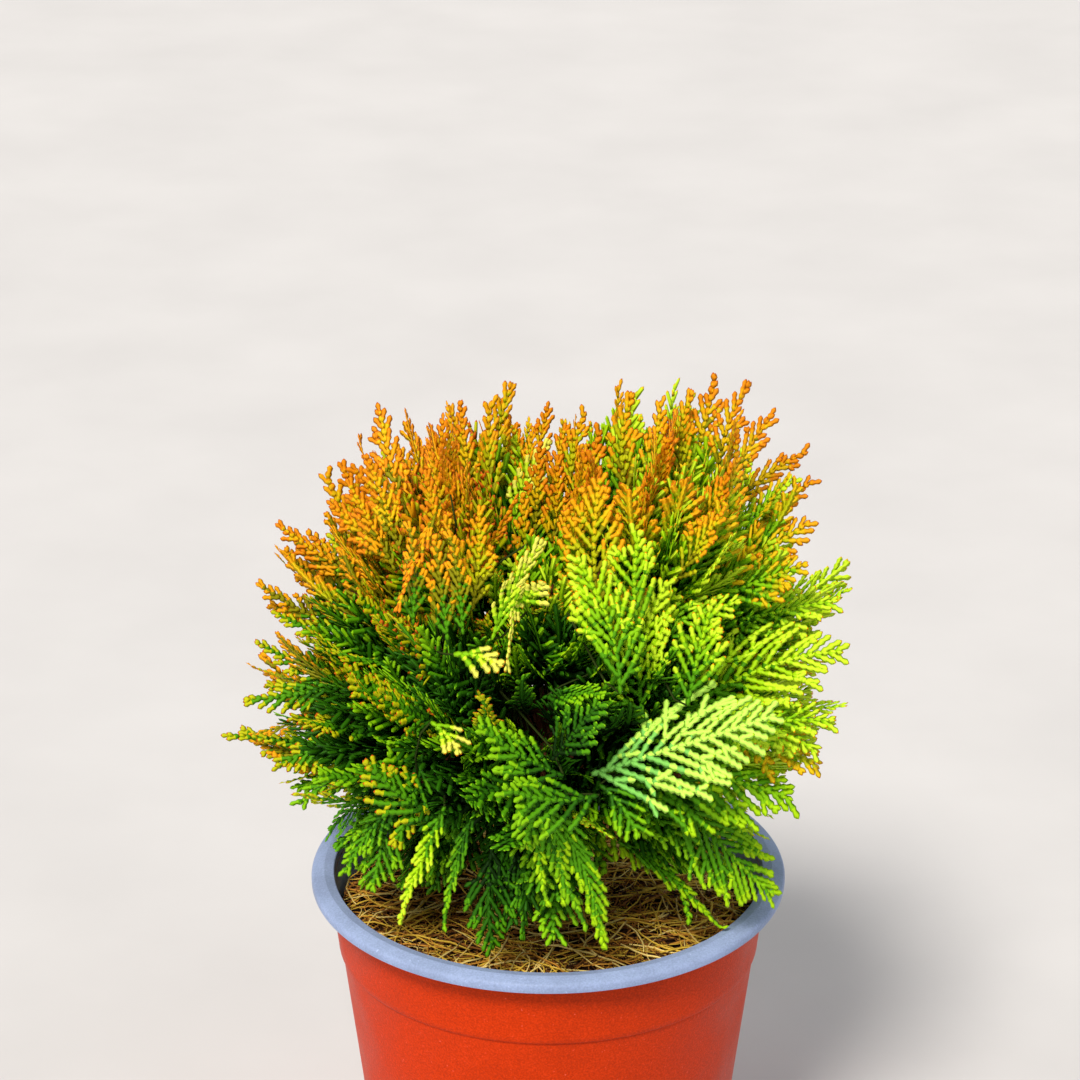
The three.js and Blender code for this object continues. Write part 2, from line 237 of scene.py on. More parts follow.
# Sprays that stand out in the photograph, by mass: kind, tint, base, tip and the way the spray faces, in mm,
# and how far about it, seen from the front, nothing else may stand before it
LEADING_SPRAYS = {
    "top_left": [
        ("fine", "copper", (-43, -36, 270), (-58, -4, 316), (0.15, -0.9, 0.4), 8),
        ("fine", "orange", (-51, -32, 277), (-61, -25, 306), (0.2, -0.9, 0.4), 0),
        ("fine", "copper", (-57, -29, 276), (-68, -25, 297), (0.2, -0.9, 0.4), 0),
        ("fine", "orange", (-50, -23, 268), (-75, -20, 287), (0.2, -0.85, 0.5), 6),
        ("slender", "orange", (-27, -31, 261), (-10, -32, 294), (0.8, -0.5, 0.3), 5),
        ("fine", "amber", (-34, -63, 259), (-38, -54, 289), (0.5, -0.8, 0.3), 4),
        ("fine", "amber", (-29, -60, 261), (-33, -52, 290), (-0.5, -0.8, 0.3), 4),
        ("fine", "gold", (-25, -50, 262), (-23, -41, 294), (0.4, -0.8, 0.3), 4),
        ("fine", "amber", (-45, -56, 262), (-46, -49, 292), (-0.3, -0.8, 0.4), 0),
        ("fine", "orange", (-36, -43, 275), (-41, -39, 306), (0.3, -0.8, 0.3), 0),
        ("fine", "orange", (-38, -18, 279), (-36, -8, 314), (-0.4, -0.9, 0.2), 0),
    ],
    "top_right": [
        ("medium", "lime", (30, -61, 254), (30, -50, 289), (0.2, -0.9, 0.4), 6),
        ("large", "gold", (17, -45, 265), (17, -34, 301), (0, -0.9, 0.4), 6),
        ("slim", "gold", (47, -44, 276), (58, -47, 296), (-0.4, -0.8, 0.4), 6),
        ("slim", "orange", (69, -4, 267), (91, -2, 287), (-0.1, -0.85, 0.5), 0),
        ("slim", "orange", (67, 6, 277), (89, 7, 294), (-0.2, -0.85, 0.5), 0),
        ("slim", "gold", (27, -4, 281), (29, 6, 316), (0.3, -0.9, 0.2), 0),
        ("slim", "gold", (34, -14, 289), (38, -7, 318), (-0.3, -0.9, 0.2), 0),
        ("slim", "gold", (46, -11, 294), (49, -5, 321), (-0.3, -0.9, 0.2), 0),
        ("slim", "orange", (57, -15, 293), (68, -8, 325), (0.2, -0.9, 0.3), 0),
        ("slim", "orange", (61, -18, 294), (76, -14, 318), (0.2, -0.9, 0.3), 0),
    ],
    "top_front": [
        ("large", "lime", (23, -77, 243), (9, -63, 285), (0.2, -0.9, 0.4), 10),
        ("slim", "sunlit", (-19, -69, 258), (-2, -58, 289), (0.85, -0.4, 0.3), 6),
        ("young", "sunlit", (-16, -53, 259), (-1, -69, 279), (0.2, -0.9, 0.3), 6),
        ("fine", "gold", (4, -30, 257), (5, -24, 287), (-0.2, -0.9, 0.4), 0),
        ("fine", "gold", (-7, -24, 258), (-9, -18, 289), (0.3, -0.9, 0.4), 0),
        ("slim", "yellow", (12, -26, 254), (13, -20, 285), (0.3, -0.9, 0.4), 0),
    ],
    "top_back_left": [
        ("fine", "orange", (-27, 16, 273), (-31, 25, 306), (0.3, -0.9, 0.2), 0),
        ("slim", "gold", (-19, 32, 266), (-13, 43, 306), (0.7, -0.7, 0.2), 6),
        ("slim", "gold", (-19, 10, 267), (-20, 22, 307), (0.8, -0.6, 0.2), 0),
        ("slim", "sunlit", (-13, 10, 264), (1, 18, 294), (0.5, -0.8, 0.3), 6),
        ("fine", "orange", (-6, 35, 268), (0, 43, 299), (0.3, -0.9, 0.2), 0),
        ("fine", "orange", (-5, 0, 264), (-3, 6, 298), (0.2, -0.9, 0.3), 0),
    ],
    "top_back_right": [
        ("fine", "copper", (-3, 23, 262), (6, 32, 295), (-0.3, -0.9, 0.2), 0),
        ("slim", "gold", (8, 22, 270), (13, 30, 300), (0.2, -0.9, 0.3), 0),
        ("slim", "orange", (51, 39, 271), (59, 49, 307), (0.2, -0.9, 0.3), 5),
        ("fine", "orange", (1, -4, 262), (3, 2, 295), (0.3, -0.9, 0.3), 0),
        ("fine", "gold", (9, -10, 262), (11, -4, 294), (-0.3, -0.9, 0.3), 0),
        ("slim", "orange", (15, 4, 264), (18, 10, 301), (0.3, -0.9, 0.3), 0),
    ],
    "upper_left": [
        ("fine", "copper", (-71, -4, 254), (-94, -2, 271), (0.2, -0.85, 0.5), 0),
        ("fine", "amber", (-77, -6, 234), (-101, -5, 250), (0.2, -0.8, 0.6), 0),
        ("fine", "tipped", (-74, -21, 236), (-95, -22, 247), (0.2, -0.8, 0.6), 0),
        ("fine", "tipped", (-76, -8, 216), (-102, -8, 229), (0.2, -0.8, 0.6), 0),
    ],
    "front_left": [
        ("slender", "copper", (-39, -44, 284), (-50, -63, 265), (-0.8, -0.4, 0.4), 5),
        ("slender", "sunlit", (-10, -58, 269), (-14, -77, 250), (0.6, -0.7, 0.3), 5),
        ("young", "sunlit", (-33, -71, 254), (-15, -77, 252), (-0.1, -0.9, 0.4), 8),
        ("medium", "green", (-2, -76, 216), (-23, -82, 233), (0.1, -0.8, 0.6), 8),
    ],
    "front_right": [
        ("large", "spring", (33, -62, 236), (39, -51, 271), (-0.2, -0.8, 0.5), 6),
        ("medium", "lime", (47, -67, 239), (54, -59, 268), (0, -0.9, 0.4), 0),
        ("medium", "deep", (4, -74, 220), (17, -87, 244), (0, -0.8, 0.6), 0),
        ("slim", "green", (4, -70, 237), (18, -87, 245), (0, -0.7, 0.7), 0),
    ],
    "upper_right": [
        ("fan", "spring", (43, -42, 215), (99, -42, 241), (-0.1, -0.8, 0.6), 8),
        ("medium", "lime", (47, -42, 256), (64, -44, 261), (-0.2, -0.8, 0.6), 8),
        ("large", "lime", (62, -26, 245), (98, -29, 254), (0, -0.75, 0.65), 6),
        ("medium", "yellow", (63, -29, 258), (87, -36, 271), (0, -0.75, 0.65), 0),
        ("medium", "gold", (67, -13, 265), (89, -14, 277), (0, -0.8, 0.6), 0),
    ],
    "left": [
        ("slim", "tipped", (-73, -10, 191), (-97, -14, 182), (0.1, -0.8, 0.6), 0),
        ("slim", "green", (-70, -14, 184), (-88, -18, 171), (-0.1, -0.8, 0.6), 0),
    ],
    "front_left_middle": [
        ("young", "sunlit", (-39, -69, 228), (-29, -77, 220), (0.1, -0.9, 0.4), 8),
        ("medium", "tipped", (-47, -62, 197), (-62, -66, 212), (-0.3, -0.7, 0.6), 6),
    ],
    "front_middle": [
        ("medium", "green", (0, -82, 209), (-15, -89, 214), (0.1, -0.8, 0.6), 6),
        ("small", "green", (-4, -74, 199), (-9, -80, 186), (0, -0.9, 0.4), 0),
    ],
    "front_fan": [
        ("fan", "pale", (14, -64, 206), (75, -70, 231), (-0.1, -0.86, 0.5), 19),
        ("small", "green", (17, -68, 204), (30, -79, 190), (0, -0.8, 0.6), 0),
    ],
    "right": [
        ("large", "lime", (58, -50, 219), (96, -56, 222), (0, -0.7, 0.7), 0),
        ("large", "lime", (56, -51, 212), (90, -59, 211), (0, -0.7, 0.7), 0),
        ("large", "yellow", (64, -47, 209), (91, -56, 204), (0, -0.7, 0.7), 0),
        ("fan", "fresh", (19, -56, 202), (82, -60, 194), (0, -0.8, 0.6), 6),
    ],
    "left_back": [
        ("slim", "tipped", (-74, -10, 212), (-106, -12, 209), (0.1, -0.8, 0.6), 4),
        ("slender", "tipped", (-79, -2, 186), (-115, -6, 192), (0.1, -0.8, 0.6), 4),
    ],
    "left_droop": [
        ("slim", "tipped", (-45, -58, 202), (-53, -64, 179), (-0.1, -0.9, 0.4), 6),
        ("slender", "spring", (-35, -66, 195), (-51, -67, 150), (-0.6, -0.75, 0.3), 6),
        ("slim", "green", (-50, -46, 187), (-70, -46, 159), (-0.4, -0.8, 0.4), 4),
        ("medium", "green", (-54, -44, 181), (-61, -48, 153), (-0.3, -0.8, 0.4), 0),
    ],
    "front_droop": [
        ("slender", "green", (-28, -60, 178), (-36, -64, 146), (-0.5, -0.8, 0.3), 5),
        ("medium", "deep", (-19, -56, 168), (-19, -64, 139), (0, -0.9, 0.4), 6),
        ("slim", "deep", (-12, -56, 173), (-10, -66, 144), (0.6, -0.7, 0.3), 0),
        ("slender", "fresh", (-6, -74, 199), (0, -78, 163), (0.1, -0.95, 0.3), 6),
        ("slender", "fresh", (-4, -73, 201), (5, -77, 163), (0.2, -0.95, 0.3), 6),
        ("slender", "green", (-5, -72, 204), (13, -75, 153), (0.2, -0.95, 0.3), 6),
        ("trailing", "fresh", (-3, -72, 200), (19, -75, 145), (0.3, -0.9, 0.3), 12),
    ],
    "right_droop": [
        ("fan", "fresh", (39, -50, 192), (78, -50, 152), (0.35, -0.8, 0.5), 10),
        ("medium", "green", (19, -42, 188), (48, -56, 173), (0, -0.8, 0.6), 0),
        ("slender", "fresh", (24, -36, 166), (62, -50, 137), (0, -0.5, 0.85), 6),
        ("slender", "green", (32, -38, 160), (49, -50, 141), (0, -0.5, 0.85), 0),
    ],
}


def linear(code, alpha=1.0):
    """An sRGB hex colour as linear red, green, blue and alpha."""
    parts = [int(code[i : i + 2], 16) / 255 for i in (0, 2, 4)]
    return [c / 12.92 if c <= 0.04045 else ((c + 0.055) / 1.055) ** 2.4 for c in parts] + [alpha]


def settings():
    """The plant's own settings in the scene."""
    return bpy.context.scene.thuja


# Materials


def per_metre(size):
    """A pattern's scale: how often a size in millimetres goes into a metre."""
    return 1 / (size * MM)


def add_node(tree, kind, inputs=None, stops=(), **values):
    """Adds a node, sets its values and inputs, and links the inputs that are given as sockets. A ramp's stops
    hold sRGB hex codes or linear colours."""
    made = tree.nodes.new(kind)
    for name, value in values.items():
        setattr(made, name, value)
    for name, value in (inputs or {}).items():
        if isinstance(value, bpy.types.NodeSocket):
            tree.links.new(value, made.inputs[name])
        else:
            made.inputs[name].default_value = value
    for number, (place, colour) in enumerate(stops):
        points = made.color_ramp.elements
        point = points[number] if number < len(points) else points.new(place)
        point.position = place
        point.color = linear(colour) if isinstance(colour, str) else colour
    return made


def new_material(name, **surface):
    """A material with its Principled shader's own sockets set."""
    made = bpy.data.materials.new(name)
    made.use_nodes = True
    shader = made.node_tree.nodes["Principled BSDF"]
    for key, value in surface.items():
        shader.inputs[key.replace("_", " ").title().replace("Ior", "IOR")].default_value = value
    return made, made.node_tree, shader


def leaf_material(name, colour):
    """Living scale leaf: waxy, half matt. Plain in colour, because a pattern slides on joined sprays."""
    return new_material(name, base_color=[*colour, 1.0], roughness=0.55, specular_ior_level=0.12)[0]


def shades(colour):
    """Stops of one moulded colour, from its dull patches to its pale scuffs, as linear colours."""
    table = [(0.3, 0.72, 0.0), (0.44, 0.86, 0.0), (0.58, 1.05, 0.0), (0.72, 1.2, 0.006), (1.0, 1.25, 0.12)]
    return [(place, [c * gain * (1 - white) + white for c in colour] + [1.0]) for place, gain, white in table]


def dress(tree, shader, factor, stops, height, strength, depth):
    """Gives a shader its colours by one pattern, and a relief by another, its depth in metres."""
    relief = {"Height": height, "Strength": strength, "Distance": depth}
    bump = add_node(tree, "ShaderNodeBump", relief)
    ramp = add_node(tree, "ShaderNodeValToRGB", {"Fac": factor}, stops)
    tree.links.new(ramp.outputs["Color"], shader.inputs["Base Color"])
    tree.links.new(bump.outputs["Normal"], shader.inputs["Normal"])


def moulded_plastic(name, colour, roughness, grain, ripple):
    """Injection-moulded polypropylene: a fine-grained skin, broad dull patches where hands and soil rubbed it,
    pale scuffs of about half a millimetre and a faint ripple from the mould."""
    made, tree, shader = new_material(name, specular_ior_level=0.09)
    place = add_node(tree, "ShaderNodeTexCoord").outputs["Object"]
    broad = {"Vector": place, "Scale": per_metre(RUBBED_PATCH), "Detail": 5.0, "Roughness": 0.6}
    cloud = add_node(tree, "ShaderNodeTexNoise", broad).outputs["Fac"]
    grained = {"Vector": place, "Scale": per_metre(SKIN_GRAIN), "Detail": 2.0}
    fine = add_node(tree, "ShaderNodeTexNoise", grained).outputs["Fac"]
    tone = add_node(tree, "ShaderNodeMix", {"Factor": grain, "A": cloud, "B": fine}).outputs["Result"]
    spots = {"Vector": place, "Scale": per_metre(SCUFF_SPACING), "Detail": 3.0, "Roughness": 0.7}
    scuffs = add_node(tree, "ShaderNodeTexNoise", spots).outputs["Fac"]
    rare = {"Value": scuffs, "From Min": 0.65, "From Max": 0.76, "To Min": 0.0, "To Max": 0.5}
    pale = add_node(tree, "ShaderNodeMapRange", rare).outputs["Result"]
    reach = add_node(tree, "ShaderNodeMath", {0: tone, 1: pale}, operation="ADD").outputs[0]
    dress(tree, shader, reach, shades(colour), fine, ripple, 0.0004)
    glossy, matt = roughness - 0.08, roughness + 0.12
    rubbed = {"Value": cloud, "From Min": 0.3, "From Max": 0.7, "To Min": glossy, "To Max": matt}
    dull = add_node(tree, "ShaderNodeMapRange", rubbed)
    tree.links.new(dull.outputs["Result"], shader.inputs["Roughness"])
    return made


def bark_material(name, stops):
    """Thuja bark: thin reddish-brown strips that run along the limb and lift at their edges."""
    made, tree, shader = new_material(name, roughness=0.88, specular_ior_level=0.2)
    place = add_node(tree, "ShaderNodeTexCoord").outputs["Object"]
    drawn_out = {"Vector": place, "Scale": (1.0, 1.0, 0.18)}
    along = add_node(tree, "ShaderNodeMapping", drawn_out).outputs["Vector"]
    torn = {"Vector": along, "Scale": per_metre(BARK_STRIP), "Detail": 8.0, "Roughness": 0.7}
    strips = add_node(tree, "ShaderNodeTexNoise", torn).outputs["Fac"]
    dress(tree, shader, strips, stops, strips, 0.6, 0.0006)
    return made


def peat_material():
    """Moist peat and bark crumbs: near black in the hollows, red-brown on the crumbs of about 2 mm."""
    made, tree, shader = new_material("peat_and_bark_mix", roughness=0.95, specular_ior_level=0.15)
    place = add_node(tree, "ShaderNodeTexCoord").outputs["Object"]
    rough = {"Vector": place, "Scale": per_metre(PEAT_CRUMB), "Detail": 9.0, "Roughness": 0.75}
    crumbs = add_node(tree, "ShaderNodeTexNoise", rough).outputs["Fac"]
    stops = [(0.3, "0D0705"), (0.5, "2A170E"), (0.62, "4A2C19"), (0.75, "6E4A28")]
    dress(tree, shader, crumbs, stops, crumbs, 1.0, 0.0015)
    return made


def fibre_material(name, code):
    """Dry coir: dull and straight-fibred. One plain base colour, because the fibres are joined."""
    return new_material(name, base_color=linear(code), roughness=0.7, specular_ior_level=0.3)[0]


def floor_material():
    """Matt pale studio floor, with the faintest mottling so that it isn't one flat tone."""
    made, tree, shader = new_material("pale_studio_floor", roughness=0.85, specular_ior_level=0.2)
    place = add_node(tree, "ShaderNodeTexCoord").outputs["Object"]
    mottled = {"Vector": place, "Scale": per_metre(FLOOR_MOTTLE), "Detail": 4.0}
    cloud = add_node(tree, "ShaderNodeTexNoise", mottled).outputs["Fac"]
    ramp = add_node(tree, "ShaderNodeValToRGB", {"Fac": cloud}, [(0.3, "C6C6C8"), (0.7, "CCCCCE")])
    tree.links.new(ramp.outputs["Color"], shader.inputs["Base Color"])
    return made


# Meshes


def new_piece(name, mesh, materials, slot, *nodes):
    """Puts a finished mesh into the scene as a piece of the plant's one body."""
    piece = bpy.data.objects.new(name, mesh)
    bpy.context.scene.collection.objects.link(piece)
    for material in materials:
        mesh.materials.append(material)
    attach(piece, BODY)
    if nodes:
        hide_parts(*nodes)
    return piece


class Joined:
    """Collects many small shapes for one mesh: vertex places, face corners, face sizes and material slots."""

    def __init__(self):
        self.parts, self.count = ([], [], [], []), 0

    def add(self, places, corners, sizes, slots):
        for part, more in zip(self.parts, (places, corners + self.count, sizes, slots)):
            part.append(more)
        self.count += len(places)

    def joined(self):
        return [np.concatenate(part) for part in self.parts]


def mesh_from(name, shapes, smooth=True):
    """A mesh from the shapes that were joined."""
    places, corners, sizes, slots = shapes.joined()
    mesh = bpy.data.meshes.new(name)
    mesh.vertices.add(len(places))
    mesh.vertices.foreach_set("co", np.ascontiguousarray(places, np.float32).ravel())
    mesh.loops.add(len(corners))
    mesh.loops.foreach_set("vertex_index", np.ascontiguousarray(corners, np.int32))
    mesh.polygons.add(len(sizes))
    starts = np.concatenate([[0], np.cumsum(sizes)[:-1]])
    mesh.polygons.foreach_set("loop_start", starts.astype(np.int32))
    mesh.polygons.foreach_set("material_index", np.ascontiguousarray(slots, np.int32))
    mesh.polygons.foreach_set("use_smooth", np.full(len(sizes), smooth))
    mesh.update(calc_edges=True)
    return mesh


def unit(v):
    """One or more vectors, each made one long."""
    v = np.asarray(v, float)
    return v / np.maximum(np.linalg.norm(v, axis=-1, keepdims=True), 1e-12)


def polar(turn):
    """The flat place, or places, one away from the origin at an angle."""
    return np.stack([np.cos(turn), np.sin(turn)], -1)


def bezier(points, u):
    """Places and headings along a cubic curve at the shares u."""
    a, b, c, d = (np.asarray(p, float)[None] for p in points)
    u = np.asarray(u, float)[:, None]
    v = 1 - u
    place = v**3 * a + 3 * v * v * u * b + 3 * v * u * u * c + u**3 * d
    heading = v * v * (b - a) + 2 * v * u * (c - b) + u * u * (d - c)
    return place, unit(heading)


def tube(points, radii, sides, slot=0, relief=None):
    """A closed tube along points. relief gives the shares by which the corners of a ring swell."""
    points = np.asarray(points, float)
    count = len(points)
    heading = unit(np.gradient(points, axis=0))
    side = unit(np.cross(heading[0], [0.31, 0.17, 0.93]))  # any way that no limb runs along
    turn = np.arange(sides) * 2 * math.pi / sides
    rings = []
    for i in range(count):
        side = unit(side - heading[i] * (side @ heading[i]))
        other = np.cross(heading[i], side)
        spoke = np.cos(turn)[:, None] * side + np.sin(turn)[:, None] * other
        ring = points[i] + spoke * radii[i]
        if relief is not None:
            ring = points[i] + spoke * (radii[i] * (1 + relief(ring)))[:, None]
        rings.append(ring)
    places = np.concatenate(rings)
    i = np.arange(count - 1)[:, None] * sides
    j = np.arange(sides)[None]
    k = (j + 1) % sides
    quads = np.stack([i + j, i + k, i + sides + k, i + sides + j], -1).reshape(-1, 4)
    caps = np.concatenate([np.arange(sides)[::-1], (count - 1) * sides + np.arange(sides)])
    corners = np.concatenate([quads.ravel(), caps])
    sizes = np.concatenate([np.full(len(quads), 4), [sides, sides]])
    return places, corners, sizes, np.full(len(sizes), slot)


def scaled(parts):
    """A tube's parts, from millimetres to metres."""
    places, corners, sizes, slots = parts
    return places * MM, corners, sizes, slots


def bark_relief(ring):
    """Shallow strips and furrows that run along a limb."""
    return np.array(
        [
            0.11 * noise.noise(Vector((x * 0.9, y * 0.9, z * 0.12)))
            + 0.07 * noise.noise(Vector((x * 2.1, y * 2.1, z * 0.3 + 9)))
            for x, y, z in ring
        ]
    )


# Sprays


def grow_shoot(shoots, rng, start, heading, count, size, order, curl, kind):
    """The branching rule. A shoot of scale leaves grows, curling a little, and bears side shoots on alternate
    sides, shorter towards its tip, each of which grows by the same rule. order is 0 for the main axis."""
    longest, angle, forking = kind
    points, headings = [np.array(start, float)], []
    for i in range(count):
        heading += curl + math.radians(rng.normal(0, 1.3))
        step = size * (1.06 - 0.16 * i / count)
        points.append(points[-1] + step * np.array([math.cos(heading), math.sin(heading)]))
        headings.append(heading)
    shoots.append((np.array(points), np.array(headings), order, size))
    if order == 2 or count < 4:
        return
    side = 1 if rng.random() < 0.5 else -1
    for i in range(2 if order else 1, count):
        share = i / count
        if order == 0:
            reach = longest * min(1.0, 0.62 + 1.8 * share) * (1.1 - share) + rng.uniform(-0.9, 0.9)
        else:
            reach = 0.38 * (count - i) + rng.uniform(-0.4, 0.9) if rng.random() < forking else 0
        length = int(round(reach))
        if length >= 1:
            away = headings[i - 1] + side * math.radians(angle - 7 * share + rng.normal(0, 3.5))
            bend = -side * math.radians(1.8)
            grow_shoot(shoots, rng, points[i], away, length, size * 0.97, order + 1, bend, kind)
        side = -side


def bead_rings(points, headings):
    """Two rings to a scale leaf, where it pinches and where it is widest, and a small one at the shoot's end:
    their places, how they swell and rise as shares of half the width, the way they face, and where the shoot
    ends."""
    n = len(headings)
    step = points[1:] - points[:-1]
    at = np.stack([points[:-1], points[:-1] + step * 0.6], 1).reshape(-1, 2)
    at = np.vstack([at, points[-1] - step[-1] * 0.08])
    broad = np.interp(np.linspace(0, 1, 2 * n), [0, 0.5, 0.85, 1], [0.84, 1.0, 1.04, 0.94])
    swell = np.append(np.tile([0.68, 1.05], n) * broad, 0.6)
    rise = np.append(np.tile([0.1, 0.5], n), 0.3)
    return at, swell, rise, np.append(headings.repeat(2), headings[-1]), points[-1] + step[-1] * 0.18


def plain_rings(points, headings):
    """The same, with one ring to a scale leaf, for shoots inside the crown."""
    n = len(headings)
    at = points[:-1]
    if n > 1:
        at = np.vstack([points[:-2], points[-1] - (points[-1] - points[-2]) * 0.4])
    return at, np.linspace(0.86, 0.7, n), np.full(n, 0.3), headings, points[-1]


def spray_template(rng, kind, rings):
    """One flat spray in millimetres, its base at the origin and its main axis along +X. Each scale leaf is a
    low bead of one or two rings of three corners. zones give the age of each face, from old, 0, to the very
    ends, 4."""
    count, longest, size, angle, forking, width = SPRAY_KINDS[kind]
    shoots = []
    curl = math.radians(rng.normal(0, 1.1))
    grow_shoot(shoots, rng, (0, 0), 0.0, count, size, 0, curl, (longest, angle, forking))
    last = shoots[0][0][-1]
    lean = math.atan2(last[1], last[0])
    straight = np.array([[math.cos(lean), -math.sin(lean)], [math.sin(lean), math.cos(lean)]])
    shoots = [(points @ straight, headings - lean, order, pitch) for points, headings, order, pitch in shoots]
    total = shoots[0][0][-1, 0]
    joined = Joined()
    for points, headings, order, pitch in shoots:
        n = len(headings)
        half = width * pitch * (0.94, 1.0, 0.94)[order]
        at, swell, rise, turn, end_at = (bead_rings if rings == 2 else plain_rings)(points, headings)
        m = len(at)
        across = np.stack([-np.sin(turn), np.cos(turn)], 1)
        lift = np.full(m, 0.16 * half * order)
        edge = across * (half * swell)[:, None]
        left = np.column_stack([at + edge, lift])
        right = np.column_stack([at - edge, lift])
        top = np.column_stack([at, lift + half * rise * swell])
        places = np.stack([left, top, right], 1).reshape(-1, 3)
        places = np.vstack([places, np.append(end_at, lift[-1] + 0.1 * half)])
        i = np.arange(m - 1)[:, None] * 3
        quads = np.concatenate([i + [0, 1, 4, 3], i + [1, 2, 5, 4], i + [2, 0, 3, 5]], 1).reshape(-1, 4)
        last, end = 3 * (m - 1), 3 * m
        fans = np.array([[last, last + 1, end], [last + 1, last + 2, end], [last + 2, last, end], [2, 1, 0]])
        corners = np.concatenate([quads.ravel(), fans.ravel()])
        sizes = np.concatenate([np.full(len(quads), 4), np.full(4, 3)])
        from_tip = np.repeat(m - 1 - np.arange(m - 1), 3) / rings
        where = np.repeat(at[:-1, 0], 3) / total
        mottle = np.repeat(rng.normal(0, 0.09, m - 1), 3)
        age = 0.75 * where + 0.35 * (1 - from_tip / n) + rng.normal(0, 0.05) + mottle
        zone = np.digitize(age, [0.32, 0.62])
        zone = np.where((from_tip <= 1.5) & (where > 0.25 + 0.3 * rng.random()), 3, zone)
        ends = 4 if (points[-1][0] / total > 0.35 + 0.3 * rng.random()) else (zone[-1] if m > 1 else 1)
        zones = np.concatenate([zone, [ends, ends, ends, zone[0] if m > 1 else 0]]).astype(int)
        joined.add(places, corners, sizes, zones)
    parts = joined.joined()
    return {"parts": parts, "length": total, "half": np.abs(parts[0][:, 1]).max()}


def sun_score(at, rng):
    """How much sun a spray's tip has had: more at the top and far out on the left, less at the back."""
    score = np.interp(at[0], SUN_SIDES, [np.interp(at[2], SUN_HEIGHTS, scores) for scores in SUN_SCORES])
    far_left, at_back = max(0.0, (-at[0] - 80) / 35), at[1] > 30
    score += 0.24 * far_left - 0.06 * at_back
    return score + rng.normal(0, 0.045)


def lay_spray(joined, template, curve, normal, twist, cup, droop, tint, rng):
    """Bends a template along a curve and joins it on. cup rolls its sides, and droop lets them hang."""
    places, corners, sizes, zones = template["parts"]
    length = np.linalg.norm(np.diff(np.asarray(curve, float), axis=0), axis=1).sum()
    scale = length / template["length"]
    x, y, z = places.T
    share = np.clip(x / template["length"], -0.05, 1.1)
    middle, heading = bezier(curve, share)
    face = unit(normal - heading * (heading @ normal)[:, None])
    side = np.cross(face, heading)
    turn = (twist * share)[:, None]
    face, side = face * np.cos(turn) + side * np.sin(turn), side * np.cos(turn) - face * np.sin(turn)
    spread = y / template["half"]
    wave = 0.8 * np.sin(x * 0.16 + rng.uniform(0, 6)) * spread + 0.7 * np.sin(y * 0.35 + rng.uniform(0, 6))
    rise = z + cup * template["half"] * spread**2 + wave
    laid = middle + side * (y * scale)[:, None] + face * (rise * scale)[:, None]
    laid[:, 2] -= droop * np.abs(spread) ** 1.5 * template["half"] * scale
    low = np.interp(np.hypot(laid[:, 0], laid[:, 1]) * MM, REST_RADII, REST_HEIGHTS) / MM
    laid[:, 2] = np.maximum(laid[:, 2], low + z * scale)
    slots = np.array([LEAF_SLOTS.index(colour) for colour in TINTS[tint].split()])[zones]
    joined.add(laid * MM, corners, sizes, slots)


def deal(rng, shares):
    """Draws one of the names, each as often as its share."""
    names = list(shares)
    weights = np.array([shares[name] for name in names], float)
    return names[rng.choice(len(names), p=weights / weights.sum())]


def corners_of(node):
    """A CAD node's vertices in millimetres."""
    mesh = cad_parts[node].data
    flat = np.empty(len(mesh.vertices) * 3, np.float32)
    mesh.vertices.foreach_get("co", flat)
    return flat.reshape(-1, 3).astype(float) / MM


def tree_of(node):
    """A CAD node's surface, to cast rays at."""
    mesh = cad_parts[node].data
    return BVHTree.FromPolygons(
        [v.co.copy() for v in mesh.vertices], [tuple(p.vertices) for p in mesh.polygons], epsilon=0.0
    )


def trunk_rings():
    """The trunk's level rings, from its foot up: middle and mean radius of each, in millimetres."""
    at = corners_of("trunk")
    rings = []
    for level in np.unique(at[:, 2].round(1)):
        ring = at[abs(at[:, 2] - level) < 0.2]
        middle = (ring.max(0) + ring.min(0)) / 2
        radius = np.linalg.norm(ring[:, :2] - middle[:2], axis=1)
        rings.append((middle, radius[radius > 0.5].mean()))
    return rings


def bough_route(name, rings):
    """A bough's path in millimetres, from the trunk's axis to its mass, read off its CAD node."""
    at = corners_of("bough_" + name)
    order = at[:, 2].argsort()
    low, high = at[order[:6]].mean(0), at[order[-6:]].mean(0)
    axis = np.array([ring[0] for ring in rings])
    middle = np.median(at, axis=0)
    rooted = low[2] - 3  # a little below where its CAD node starts
    foot = np.array([np.interp(rooted, axis[:, 2], axis[:, k]) for k in (0, 1, 2)])
    knee = middle + (middle - (foot + high) / 2) * 0.6
    return foot, knee, high


# The pieces' operators


class ThujaPotSettings(PropertyGroup):
    height: FloatProperty(name="Height", description="Top of the rolled lip", default=0.138, unit="LENGTH")
    lip_radius: FloatProperty(name="Lip radius", description="Outer radius", default=0.085, unit="LENGTH")
    lip_width: FloatProperty(name="Lip width", description="Radial width", default=0.0082, unit="LENGTH")
    lip_depth: FloatProperty(name="Lip depth", description="Height of the lip", default=0.0046, unit="LENGTH")
    base_radius: FloatProperty(name="Base radius", description="At the foot", default=0.0615, unit="LENGTH")
    wall: FloatProperty(name="Wall", description="Wall thickness", default=0.0012, unit="LENGTH")
    steps: IntProperty(name="Steps", description="Steps round the pot", default=96)
    wall_colour: FloatVectorProperty(
        name="Wall colour",
        description="Base colour of the wall",
        subtype="COLOR",
        default=linear("CA3602")[:3],
    )
    lip_colour: FloatVectorProperty(
        name="Lip colour",
        description="Base colour of the lip",
        subtype="COLOR",
        default=linear("94A6CD")[:3],
    )


